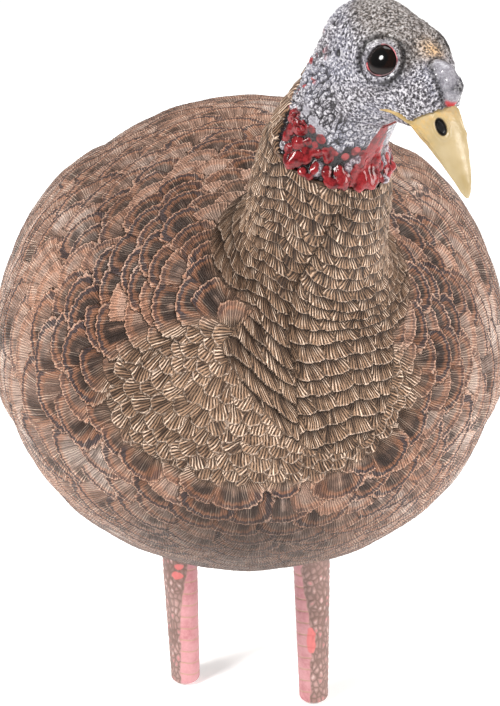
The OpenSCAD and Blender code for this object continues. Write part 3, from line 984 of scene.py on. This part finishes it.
def build_neck_socket():
    """Rim of the neck that the head plugs into, and the wall inside it"""
    profile = [(26.2, -9), (27.2, -5), (27.9, -0.9), (27.6, -0.15), (25.4, -0.1), (25, -0.5), (24.95, -9)]
    count = 160
    rings = []
    for turn in 2 * math.pi * np.arange(count) / count:
        outward = math.cos(turn) * side_axis + math.sin(turn) * np.cross(neck_axis, side_axis)
        rings.append([seam + (outward * radius + neck_axis * level) * MM for radius, level in profile])
    quads = grid_quads(count, len(profile), join_rows=True, join_columns=True)
    mesh = mesh_from("neck_socket", np.array(rings).reshape(-1, 3), [quads])
    place_piece("neck_socket", mesh, "decoy", "neck_feathers", [], socket_paint())


# Pieces of the skin: name, slot and the CAD nodes that each stands for
SKIN_PIECES = [
    ("left_breast_plumage", "body_feathers", ["left_body_shell"]),
    ("right_breast_plumage", "body_feathers", ["right_body_shell"]),
    ("left_flank_plumage", "body_feathers", []),
    ("right_flank_plumage", "body_feathers", []),
    ("left_rump_plumage", "body_feathers", []),
    ("right_rump_plumage", "body_feathers", []),
    ("left_wing_plumage", "wing_feathers", ["left_wing"]),
    ("right_wing_plumage", "wing_feathers", ["right_wing"]),
    ("neck_hackles", "neck_feathers", ["neck"]),
]


def piece_of_face(skin):
    """Place in SKIN_PIECES of each coarse face, or -1 over the belly's and the neck's openings"""
    centres = skin.coarse_points[skin.coarse_quads].mean(1)
    level, radial = up_neck(centres)
    neck = (level > -90 * MM) & (radial < 60 * MM) & (centres[:, 2] > 0.2)
    piece = np.where(centres[:, 0] > 0, 0, 1)
    piece = piece + 2 * (centres[:, 1] > -0.02) + 2 * (centres[:, 1] > 0.1)
    for k, name in enumerate(("left_wing", "right_wing")):
        piece[on_node(name, centres) & ~neck] = 6 + k
    piece[neck] = 8
    belly_hole = (np.hypot(centres[:, 0], centres[:, 1]) < BELLY_HOLE) & (centres[:, 2] < 0.06)
    neck_hole = (radial < 40 * MM) & (level > RIM_LEVEL) & (level < 30 * MM)
    piece[belly_hole | neck_hole] = -1
    return piece


def split_skin(skin, points, values):
    """One piece for each part of the skin, from the fine faces of its coarse faces"""
    fine_piece = np.repeat(piece_of_face(skin), QUADS_PER_FACE)
    normals = normals_of(mesh_from("whole_skin", points, [skin.quads]))
    slots = ("body_feathers", "neck_feathers", "wing_feathers")
    paints = {slot: plumage_paint(f"{slot}_paint") for slot in slots}
    for number, (name, slot, cad_nodes) in enumerate(SKIN_PIECES):
        quads = skin.quads[fine_piece == number]
        used, corners = np.unique(quads, return_inverse=True)
        mesh = mesh_from(name, points[used], [corners.reshape(-1, 4)])
        store(mesh, {key: value[used] for key, value in values.items()})
        mesh.normals_split_custom_set_from_vertices(normals[used])
        place_piece(name, mesh, "decoy", slot, cad_nodes, paints[slot])


def build_plumage():
    skin = build_skin()
    plumage = dress(skin)
    _, on_neck = flow_at(skin.points, skin.normals)
    sizes = feather_sizes(skin.points, on_neck)
    row_height, row_values, share = row_feathers(skin.points)
    plumage.height = blend(plumage.height, row_height, share)
    edges = edges_of(skin.quads)
    values = {key: np.where(share > 0.5, row_values[key], value) for key, value in plumage.values.items()}
    values["tone"] = np.maximum(sizes["tone"], share)
    values["bars"] = 1 - values["tone"]
    values["dusk"] = sizes["dusk"] * (1 - share)
    # Painted shade at the foot of each step between feathers
    values["crevice_shade_and_shaft"] = painted_crevice_shade(plumage, edges)
    x, y, z = skin.points.T
    # Painted shade: darker low on the body, on the lower front of the breast, and a little where the back faces
    # up
    on_back = smooth_step(0.55, 0.9, skin.normals[:, 2]) * (1 - share)
    low = 0.7 * smooth_step(0.1, 0.035, z)
    front_low_shade = 0.75 * hump(x, 0, 0.07) * smooth_step(0.135, 0.095, z)
    values["painted_shade"] = np.maximum(np.maximum(low, front_low_shade), 0.22 * on_back)

    height = relax(plumage.height, edges, 0.35, 1)
    _, forward, level = neck_place(skin.points)
    fold = hump(from_fold(skin.points), 0, 3.2) * smooth_step(5, 15, forward)
    fold = fold * smooth_step(-150, -120, level) * smooth_step(-2, -14, level)
    height = height * (1 - 0.7 * fold) - 1.6 * MM * fold
    # The feathers lie flat round the belly bearing's hole
    belly_reach = np.where(z < 0.06, np.hypot(x, y), 1)
    height = height * smooth_step(BELLY_HOLE, BELLY_HOLE + 8 * MM, belly_reach)
    split_skin(skin, skin.points + skin.normals * height[:, None], values)


# ---- Head ----

EYE = np.array([13.7, -20.4, 65.2])
EYE_AXIS = unit(np.array([0.87, 0.02, 0.49]))
EYE_FRONT = np.array([0, -0.95, 0.31])
EAR = np.array([21, -0.4, 56.4])
HEAD_GRID = 0.95 * MM
# The throat is never drawn in further than this, in millimetres from the head's axis
THROAT_INSIDE = 22.9


def lid_line(mirror, out, depth):
    """Almond line round an eye: out widens it, depth is how far it lies along the eye's axis"""
    count = 48
    turn = 2 * math.pi * np.arange(count) / count
    up = np.cross(EYE_FRONT, EYE_AXIS)
    up = unit(up * (1 if up[2] > 0 else -1))
    front = unit(np.cross(up, EYE_AXIS))
    front = front * (1 if front @ EYE_FRONT > 0 else -1)
    corner = np.abs(np.cos(turn)) ** 3
    wide = (6.4 + 1.3 * corner + out)[:, None]
    ring = wide * (np.cos(turn)[:, None] * front + 1.13 * np.sin(turn)[:, None] * up)
    line = EYE + ring + EYE_AXIS * (depth - 1.2 * corner)[:, None]
    return line * mirror


# Balls in the head's frame, as place and radius; the large caruncles and the beans are on both sides
BIG_CARUNCLES = [
    ([24.6, 0, 16.5], 3.4), ([25.6, -3, 10], 3.0), ([26, -6, 4.6], 3.5), ([13, -23.8, 3.6], 3.9),
    ([3, -26.6, 4.4], 4.0), ([6, -25.4, 10.4], 3.2), ([20.6, -14.4, 4.4], 3.4),
]
BEANS = [([22.4, -4.4, 22.6], 2.7), ([21.6, -8.6, 20.9], 2.3), ([22.4, 1.6, 24.5], 1.9)]
SNOOD = [
    ([0, -37, 71.6], 3.9), ([-0.4, -40.6, 72], 4.3), ([-0.7, -44.4, 70.6], 4.1), ([-1, -47.6, 68], 3.2),
    ([-1.2, -49.4, 65.4], 2.3),
]
# Rings of small caruncles: level up the head, and the share of them that is kept
CARUNCLE_RINGS = [(1.5, 1.0), (5.2, 0.95), (9, 0.9), (12.8, 0.75), (16.6, 0.5), (20, 0.25)]


def on_both_sides(balls):
    return [(np.array(place) * mirror, radius) for place, radius in balls for mirror in SIDES.values()]


def outside(points, balls):
    """How far points are outside each ball, with one row a ball"""
    return np.array([np.linalg.norm(points - place, axis=1) - radius for place, radius in balls])


def caruncles():
    """Centres and radii of the red lumps round the base of the head"""
    chance = np.random.default_rng(5)
    head_shape = tree_of("head")
    lumps = on_both_sides(BIG_CARUNCLES)
    for level, keep in CARUNCLE_RINGS:
        for turn in np.arange(-150, 150, 10.5):
            angle = math.radians(turn + chance.normal(0, 3))
            z = max(level + chance.normal(0, 1.0), 0.8)
            radius = chance.uniform(1.6, 3.1)
            outward = np.array([math.sin(angle), -math.cos(angle), 0])
            if chance.uniform() > keep or 1.6 * outward[1] * 27 > z:
                continue
            start = from_head(outward * 60 + [0, 0, z])
            hit = head_shape.ray_cast(Vector(start), Vector(-outward @ head_axes))[0]
            stands_out = (0.35 if level < 2 else -0.2) * radius
            lumps.append((to_head(np.array(hit)) + outward * stands_out, radius))
    return lumps


def head_base(lumps):
    """Smooth head with its lids, snood and caruncles, coarse and fine"""
    parts = [cad_part("head")]
    parts += [ball(place, radius) for place, radius in SNOOD]
    parts += [ball(place, radius) for place, radius in lumps]
    for mirror in SIDES.values():
        parts += [ball(np.array(place) * mirror, radius, tall=1.25) for place, radius in BEANS]
        lids = lid_line(mirror, 0.35, 3.6)
        thick = 1.05 + 0.45 * np.clip((lids[:, 2] - EYE[2]) / 6, 0, 1)
        parts.append(tube(lids, thick, sides=16, loop=True, reference=EYE_AXIS * mirror))
        parts.append(tube(lid_line(mirror, 2.1, 2.1), 1.7, sides=16, loop=True, reference=EYE_AXIS * mirror))
    points, faces = joined(parts)
    points, quads = remeshed(from_head(points), faces, HEAD_GRID)
    return subdivided(relax(points, edges_of(quads), 0.45, 3), quads, 1)


def eye_distance(h, mirror):
    """Distance from the axis of one eye, for points on its side of the head"""
    centre, axis = EYE * mirror, EYE_AXIS * mirror
    away = h - centre
    along = away @ axis
    return np.where(along > -2, np.linalg.norm(away - along[:, None] * axis, axis=1), 99)


def nape_mask(h):
    """Where neck feathers climb the back of the head"""
    edge = 1.6 * h[:, 1] - 4 + 3 * value_noise(h, 7, 5)
    return smooth_step(-1, 1, edge - h[:, 2]) * (h[:, 2] > -0.2)


def head_relief(h, inside, balls):
    """Height in millimetres and paint values over the bare skin of the head"""
    x, y, z = h.T
    eye = np.minimum(eye_distance(h, SIDES["left"]), eye_distance(h, SIDES["right"]))
    snood = outside(h, SNOOD).min(0)
    beans = outside(h, on_both_sides(BEANS)).min(0)
    reach = outside(h, balls)
    lumps = reach.min(0)
    lump_luck = np.random.default_rng(8).uniform(size=len(balls))[reach.argmin(0)]
    ear = np.linalg.norm(np.abs(h) * [1, 0, 0] + h * [0, 1, 1] - EAR, axis=1)

    # Bare caruncled skin low on the head and down the throat
    low = smooth_step(20, 15, z + 3 * value_noise(h, 6, 1))
    strip = 2.5 + 0.2 * (36 - z) + 1.5 * value_noise(h, 3, 14)
    throat = smooth_step(0, -1.2, np.abs(x) - strip) * smooth_step(-16, -20, y) * smooth_step(41, 36, z)
    on_lump = smooth_step(0.9, 0.2, lumps)
    red = np.clip(on_lump * (lump_luck > 0.22) * smooth_step(24, 20, z) + throat + 0.45 * low, 0, 1)
    dabs = smooth_step(0.25, 0.45, value_noise(h, 3.4, 9)) * smooth_step(0, 7, y) * smooth_step(68, 40, z)
    smooth = np.clip(smooth_step(1.2, 0, snood) + smooth_step(0.8, 0, beans), 0, 1)
    rough = smooth_step(-7, 5, 50 + 1.25 * y + 4 * value_noise(h, 9, 2) - z)

    warp = np.stack([value_noise(h, 3, k) for k in (11, 12, 13)], -1)
    first, second = cell_distances((h + warp * 1.5) * [1, 1, 0.5] / 2.5, 3)
    warts = smooth_step(0, 0.45, second - first)
    wart_gap = 1 - smooth_step(0.02, 0.2, second - first)
    first, second = cell_distances((h + warp * 0.5) / 1.3, 7)
    pits = 1 - smooth_step(0.24, 0.52, first)

    rings = np.cos(2 * math.pi * (eye - 9.6) / 1.9 + 1.2 * value_noise(h, 3, 4)) * hump(eye, 11, 2.4)
    brow = 0.7 * hump(eye, 12, 1.8) - 0.6 * hump(eye, 9.9, 0.7)
    ear_rings = np.cos(2 * math.pi * (ear - 3.2) / 2.3) * hump(ear, 3.4, 2.6)
    ear_hole = smooth_step(2.2, 1.2, ear)

    face = -0.42 * pits + 0.3 * value_noise(h, 2.2, 21) + 0.35 * rings + 0.6 * ear_rings
    wrinkled = 1.5 * (warts - 0.62) + 0.5 * value_noise(h, 5, 22) + 0.5 * ear_rings
    caruncled = blend(0.6 * warts - 1.3, 0.6 * value_noise(h + warp, 2.6, 23), on_lump)
    height = blend(blend(face, wrinkled, rough), caruncled, low)
    height = blend(height, 0.3 * value_noise(h * [1, 1, 0.3], 1.6, 31), throat)
    height = blend(height, 0.05, smooth)
    height = blend(height, 0.14 * np.sin(eye * 6) - 0.12 * pits, smooth_step(9.6, 8.4, eye))
    height = height + brow - 2.2 * ear_hole

    between_lumps = 0.95 * smooth_step(-0.4, 0.9, lumps)
    cavity = blend(blend(0.8 * pits, 0.75 * wart_gap, rough), between_lumps, low)
    cavity = cavity * (1 - throat) * (1 - smooth)
    cavity = np.clip(np.maximum(cavity, ear_hole) + 0.5 * hump(eye, 9.9, 0.5), 0, 1)
    to_own_eye = h * np.where(x[:, None] * EYE[0] < 0, SIDES["right"], SIDES["left"]) - EYE
    corners = hump(eye, 9.7, 1.3) * (0.35 + 0.8 * smooth_step(2, 7, np.abs(to_own_eye @ EYE_FRONT)))
    shade = 0.9 * hump(snood, 1.4, 1.3) + np.clip(corners, 0, 1)
    values = {
        "cavity": cavity,
        "red": np.clip(np.maximum(red, dabs * (1 - cavity)), 0, 1) * (1 - smooth * (red < 0.6)),
        "shade": np.clip(shade + 0.25 * rough * wart_gap, 0, 1),
        "pale": np.maximum(smooth, 0.7 * smooth_step(9, 8, eye)),
        "crown": smooth_step(64, 74, z) * smooth_step(-38, -28, y) * (1 - smooth),
        "warm": np.exp(-(((x - 1.5) ** 2 + (y + 28.5) ** 2 + (z - 75) ** 2) / 26)),
        "tip": smooth_step(66.2, 64.6, z + 0.25 * y + 12) * smooth * (y < -40),
    }
    height = np.where(inside, 0, height)
    return height * smooth_step(-0.3, 1.2, z), values


# Short broad feather at the back of the head
NAPE_FEATHER = SimpleNamespace(
    length=12.5 * MM, width=11.5 * MM, tip=2.8 * MM, lift=2.5 * MM, fan=15 * MM,
    barbs=2 * math.pi * 27 / 1.6, wing=0)


def dress_nape(skin):
    """Lays rows of feathers up the back of the head"""
    plumage = Plumage(skin.points, skin.normals)
    points, normals = skin.coarse_points, skin.coarse_normals
    places = to_head(points)
    row = places[:, 2] / ROW_HEIGHT
    nape = (nape_mask(places) > 0.3) & (np.hypot(places[:, 0], places[:, 1]) > 22)
    picks = np.flatnonzero(nape & (np.abs(row - np.floor(row) - 0.5) < 0.1))
    order = picks[np.argsort(np.floor(row[picks]) * 10 + np.arctan2(places[picks, 0], places[picks, 1]))]
    flows = unit(-neck_axis + (normals @ neck_axis)[:, None] * normals)
    gap = np.full(len(points), 5.2 * MM)
    for i in spread(points, normals, flows, gap, gap * 1.6, order):
        plumage.lay(points[i], normals[i], flows[i], NAPE_FEATHER, rng.uniform())
    return plumage


def slim_throat(points):
    """The front of the throat drawn in from the neck below it, and the head's rim cut level"""
    x, y, z = to_head(points).T
    outer = np.hypot(x, y)
    waist = smooth_step(0.5, 10, z) * smooth_step(40, 24, z) * smooth_step(8, -14, y)
    slimmer = np.maximum(outer - 4 * waist, np.minimum(outer, THROAT_INSIDE))
    shrink = np.where(outer > THROAT_INSIDE, slimmer / np.maximum(outer, 1), 1)
    z = np.maximum(z, np.where(outer < 29.6, 0.15, -1.5))
    return from_head(np.stack([x * shrink, y * shrink, z], -1))


def build_head():
    lumps = caruncles()
    skin = head_base(lumps)
    h = to_head(skin.points)
    radial = np.hypot(h[:, 0], h[:, 1])
    outward = (skin.normals @ head_axes.T)[:, :2]
    faces_in = (outward * h[:, :2]).sum(1) < 0
    inside = (radial < 24) & (h[:, 2] < 40) & faces_in | (h[:, 2] < 0.3) & (radial < 26)
    height, values = head_relief(h, inside, lumps)

    plumage = dress_nape(skin)
    edges = edges_of(skin.quads)
    feathered = nape_mask(h) * ~inside
    height = blend(height, plumage.height / MM * 0.75, feathered)
    points = slim_throat(skin.points + skin.normals * (relax(height, edges, 0.25, 1) * MM)[:, None])

    values.update(plumage.values)
    values["tone"] = np.ones(len(h))
    values.update({key: np.zeros(len(h)) for key in ("bars", "dusk", "painted_shade")})
    # Painted shade at the foot of each step between the nape feathers
    values["crevice_shade_and_shaft"] = painted_crevice_shade(plumage, edges)
    mesh = mesh_from("head_skin", points, [skin.quads])
    store(mesh, values)
    place_piece("head_skin", mesh, "head", "head_skin", ["head"], head_paint(), plumage_paint("nape_paint"))
    nape_paint_on = feathered[skin.quads].mean(1) > 0.5
    mesh.polygons.foreach_set("material_index", nape_paint_on.astype(np.int32))
    return tree_from(points, [skin.quads])


# ---- Beak and eyes ----

# Lines as y and z in the head's frame: where the beak's halves meet, and the fold along the gape
BEAK_LINE = np.array([(-34, 50.5), (-44, 51), (-52, 49), (-59, 46), (-66, 42), (-72, 38), (-77, 35)])
GAPE = np.array([(-27.2, 46), (-31, 49), (-35.6, 50.8), (-40.6, 49.9), (-46.5, 48.6), (-52, 47.6)])
NOSTRIL = np.array([6.2, -53.2, 56.2])


def gape_folds(head_tree):
    """Soft fold on each side of the face along the gape, on the surface of the head or the beak"""
    beak_tree = tree_of("beak")
    t = np.linspace(0, len(GAPE) - 1, 40)
    line = np.stack([np.interp(t, np.arange(len(GAPE)), GAPE[:, k]) for k in range(2)], -1)
    folds = []
    for mirror in SIDES.values():
        path = []
        for y, z in line:
            start = from_head([30 * mirror[0], y, z])
            inward = -side_axis * mirror[0]
            hits = [tree.ray_cast(Vector(start), Vector(inward))[3] for tree in (head_tree, beak_tree)]
            depth = min(d for d in hits if d is not None)
            path.append([(30 - depth / MM) * mirror[0], y, z])
        path = np.array(path)
        for _ in range(6):
            path[1:-1] = (path[:-2] + path[2:]) / 2 * 0.5 + path[1:-1] * 0.5
        folds.append(tube(path, np.interp(t, [0, 2, 5], [0.6, 1.25, 0.9]), sides=14))
    return folds


def build_beak(head_tree):
    points, faces = joined([cad_part("beak")] + gape_folds(head_tree))
    points, quads = remeshed(from_head(points), faces, 0.62 * MM)
    skin = subdivided(relax(points, edges_of(quads), 0.5, 5), quads, 1)
    h = to_head(skin.points)
    x, y, z = h.T
    bite = z - np.interp(y, BEAK_LINE[::-1, 0], BEAK_LINE[::-1, 1]) + 1.2
    front = smooth_step(-45, -50, y)
    lips = (0.3 * hump(bite, 1.3, 0.8) - 0.55 * hump(bite, 0, 0.45)) * front
    lower = -0.35 * smooth_step(0, -1, bite) * front
    long_axis = unit(np.array([0, -0.86, -0.5]))
    away = np.stack([np.abs(x), y, z], -1) - NOSTRIL
    s = away @ long_axis
    across = np.linalg.norm(away - s[:, None] * long_axis, axis=1)
    oval = np.hypot(s / 4.3, across / 2.5)
    nostril = -2.3 * smooth_step(1, 0.55, oval) + 0.45 * hump(oval, 1.25, 0.2)
    horn = 0.1 * value_noise(h * [1, 0.35, 1], 1.8, 41) + 0.05 * value_noise(h, 0.8, 42)
    height = lips + lower + nostril + horn
    mesh = mesh_from("beak_horn", skin.points + skin.normals * (height * MM)[:, None], [skin.quads])
    store(mesh, {
        "cavity": np.clip(smooth_step(0.98, 0.8, oval) + 0.7 * hump(bite, 0, 0.4) * front, 0, 1),
        "hole": smooth_step(0.95, 0.85, oval),
        "root": smooth_step(-58, -46, y + 3 * value_noise(h, 4, 43)),
    })
    place_piece("beak_horn", mesh, "head", "beak", ["beak"], beak_paint())


def build_eyes():
    for side, mirror in SIDES.items():
        axis = EYE_AXIS * mirror
        turn = np.linspace(0.02, math.pi * 0.62, 40)
        depth = np.cos(turn) * 6.4
        path = EYE * mirror + depth[:, None] * axis
        points, faces = tube(path, np.sin(turn) * 7.9, sides=64, reference=(0.2, 0.9, 0.3))
        mesh = mesh_from(f"{side}_eyeball", from_head(points), faces)
        away = points - EYE * mirror
        reach = np.linalg.norm(away - (away @ axis)[:, None] * axis, axis=1)
        store(mesh, {"reach": reach})
        place_piece(f"{side}_eyeball", mesh, "head", "eye", [f"{side}_eye"], eye_paint(side))
        points, faces = tube(lid_line(mirror, -0.62, 4.1), 0.32, sides=12, loop=True, reference=axis)
        rim = mesh_from(f"{side}_lid_edge", from_head(points), faces)
        place_piece(f"{side}_lid_edge", rim, "head", "head_skin", [], lid_paint(side))


# ---- Legs ----

# Height of one plate down a leg's inner side, in millimetres
PLATE_HEIGHT = 8.3
# Coral patches: level above the foot, turn round the leg from its inner side, half height and half width
LEG_PATCHES = {"right": [(86, -1.75, 2.2, 0.32), (80, -1.85, 2.6, 0.36)], "left": [(47, -1.65, 8.5, 0.3)]}


def build_leg(side):
    name = f"{side}_leg"
    points = points_of(nodes[name].data)
    foot = points[points[:, 2] < points[:, 2].min() + 0.3 * MM].mean(0)
    shank = points[(points[:, 2] > 0) & (points[:, 2] < 0.012)]
    top = foot + (shank.mean(0) - foot) * 1.07
    points, faces = cast_solid(tree_of(name), foot + [0, 0, 0.2 * MM], top, 0.05, 260, 150)
    mesh = mesh_from(name, points, faces)
    normals = normals_of(mesh)
    along = unit(top - foot)
    away = points - foot
    height = away @ along / MM
    spoke = away - (away @ along)[:, None] * along
    inner = -1 if side == "left" else 1
    angle = np.arctan2(spoke[:, 1] + 0.25 * np.abs(spoke[:, 0]), spoke[:, 0] * inner)
    radius = np.linalg.norm(spoke, axis=1) / MM
    ragged = 0.12 * value_noise(np.stack([height / 5, angle, angle], -1), 1, 50)
    plates = smooth_step(1.12, 1.02, np.abs(angle + 0.55) + ragged + 0.5 * smooth_step(50, 95, height))
    wave = (height + 1.2 * np.cos(angle * 1.5)) / PLATE_HEIGHT
    plate_gap = hump(np.abs(wave - np.round(wave)) * PLATE_HEIGHT, 0, 0.45)
    cells = np.stack([angle * 10 / 3.0, height / 4.7, np.full(len(height), 0.5)], -1)
    cells = cells + 0.25 * np.stack([value_noise(cells, 2, k) for k in (51, 52, 53)], -1)
    first, second = cell_distances(cells * [1, 1, 0] + [0, 0, 0.5], 57)
    scales = smooth_step(0.04, 0.42, second - first)
    border = 1 - smooth_step(0.05, 0.26, second - first)
    skin = 0.42 * (scales - 0.5) * (1 - plates) + (0.12 - 0.4 * plate_gap) * plates
    skin = skin * smooth_step(0.6, 3, radius) * smooth_step(0, 2, height)
    points = points + normals * (skin * MM)[:, None]
    mesh = mesh_from(name, points, faces)
    patches = []
    for level, turn, tall, wide in LEG_PATCHES[side]:
        reach = np.hypot((height - level) / tall, (angle - turn) / wide)
        patches.append(reach + 0.25 * value_noise(points / MM, 3, 61))
    store(mesh, {
        "cavity": border * (1 - plates) + plate_gap * plates,
        "plate": plates,
        "heart": smooth_step(0.3, 0.75, second - first) * (1 - plates),
        "spot": smooth_step(1.05, 0.9, np.min(patches, axis=0)),
    })
    place_piece(f"{side}_leg_skin", mesh, "decoy", "leg_skin", [name], leg_paint(side))


# ---- Tail ----

BLADE_ROWS = 90
BLADE_COLUMNS = 21
BLADE_THICK = 0.0012
TAIL_PAIRS = 7
# A feather on one side of the tail lies this much higher than its pair
SIDE_STEP = 0.0004


def feather_blade(root, heading, length, width, layer):
    """Closed blade of one long feather that lies on the tail's own surface"""
    s, t = np.meshgrid(np.linspace(0, 1, BLADE_ROWS), np.linspace(-1, 1, BLADE_COLUMNS), indexing="ij")
    rounding = 1 - np.clip((s - 0.86) / 0.14, 0, 1) ** 2.4
    half = width / 2 * (0.55 + 0.45 * smooth_step(0, 0.5, s)) * np.sqrt(np.clip(rounding, 0.004, 1))
    forward = np.array([math.sin(heading), math.cos(heading)])
    sideways = np.array([math.cos(heading), -math.sin(heading)])
    flat = np.array(root) + s[..., None] * length * forward + (t * half)[..., None] * sideways
    x, y = flat[..., 0], flat[..., 1]
    drop = np.clip((y - 0.236) / 0.168, 0, 1.05)
    level = 0.1275 - 0.035 * drop ** 1.1 - (0.001 + 0.012 * drop) * np.clip(np.abs(x) / 0.055, 0, 1.1) ** 2
    outer_edge = (x > 0) * 2 - 1
    arch = 0.0011 * (1 - t ** 2) + 0.0006 * hump(t, 0, 0.07) - 0.0004 * t * outer_edge
    points = np.dstack([x, y, level + layer + arch]).reshape(-1, 3)
    return s, t, half, np.vstack([points, points - [0, 0, BLADE_THICK]])


def blade_faces():
    """Top and underside of a feather blade, which look outwards, and its wall, which looks inwards"""
    rows, columns = BLADE_ROWS, BLADE_COLUMNS
    top = np.roll(grid_quads(rows, columns), -1, axis=1)
    low = top[:, ::-1] + rows * columns
    ring = np.concatenate([
        np.arange(columns), np.arange(1, rows) * columns + columns - 1,
        (rows - 1) * columns + np.arange(columns - 2, -1, -1), np.arange(rows - 2, 0, -1) * columns,
    ])
    following = np.roll(ring, -1)
    wall = np.stack([ring, ring + rows * columns, following + rows * columns, following], -1)
    return [top, low, wall[:, ::-1]]


def tail_blades():
    """How far out, how long, how high and how wide each feather of the tail is"""
    blades = []
    for k in range(TAIL_PAIRS):
        out = (k + 0.5) / TAIL_PAIRS
        for side in (1, -1):
            layer = 0.0003 - 0.0034 * out + (SIDE_STEP if side > 0 else 0)
            blades.append((side * out, 0.17 - 0.013 * out, layer, 0.026))
    # Two shorter rows cover the roots
    for length, lift, count in ((0.088, 0.0022, 4), (0.056, 0.0042, 3)):
        for k in range(count):
            out = (k + 0.5) / count
            for side in (1, -1):
                layer = lift - 0.0012 * out + (SIDE_STEP if side > 0 else 0)
                blades.append((side * out * 0.92, length, layer, 0.027))
    return blades


def build_tail():
    paint = plumage_paint("tail_paint")
    for number, (out, length, layer, width) in enumerate(tail_blades()):
        root = (out * 0.026, 0.231 - 0.004 * abs(out))
        s, t, half, points = feather_blade(root, out * 0.145, length, width, layer)
        mesh = mesh_from(f"tail_feather_{number}", points, blade_faces())
        luck = rng.uniform()
        from_tip = (1 - s) * length / MM
        from_edge = (1 - np.abs(t)) * half / MM * 1.6
        values = {
            "rim": np.minimum(from_tip, from_edge),
            "side": t * 0.8,
            "phase": (s * length / MM + np.abs(t) * half / MM * -1.1) / 1.6,
            "along": s * length / MM + 6 * luck,
            # A dark line down each feather's shaft, in the same value as the painted crevice shade of the body
            "crevice_shade_and_shaft": 0.55 * hump(t, 0, 0.06) * (s > 0.02),
        }
        uniform = {"luck": luck, "tone": 0, "bars": 1, "dusk": 0.5, "painted_shade": 0, "wing": 0.8}
        values.update({key: np.full(s.shape, value) for key, value in uniform.items()})
        store(mesh, {key: np.concatenate([v.ravel(), v.ravel()]) for key, v in values.items()})
        cad_nodes = ["tail"] if number == 0 else []
        place_piece(f"tail_feather_{number + 1:02d}", mesh, "decoy", "tail_feathers", cad_nodes, paint)


# ---- Moulded and steel parts of the mechanism ----

def finish_mechanism():
    """Plastic or steel on the CAD nodes that are shown as they are"""
    plastic = plastic_paint()
    steel = steel_paint()
    plastics = [
        "stake_sleeve", "belly_bearing", "back_bearing", "tail_clamp", "neck_ring", "head_plug", "leg_nuts",
    ]
    steels = ["thrust_ball", "retaining_clip", "tail_screws", "head_screw"]
    for name in plastics + steels:
        for slot in nodes[name].material_slots:
            slot.material = plastic if name in plastics else steel


build_stage()
build_plumage()
build_neck_socket()
head_tree = build_head()
build_beak(head_tree)
build_eyes()
build_leg("left")
build_leg("right")
build_tail()
finish_mechanism()
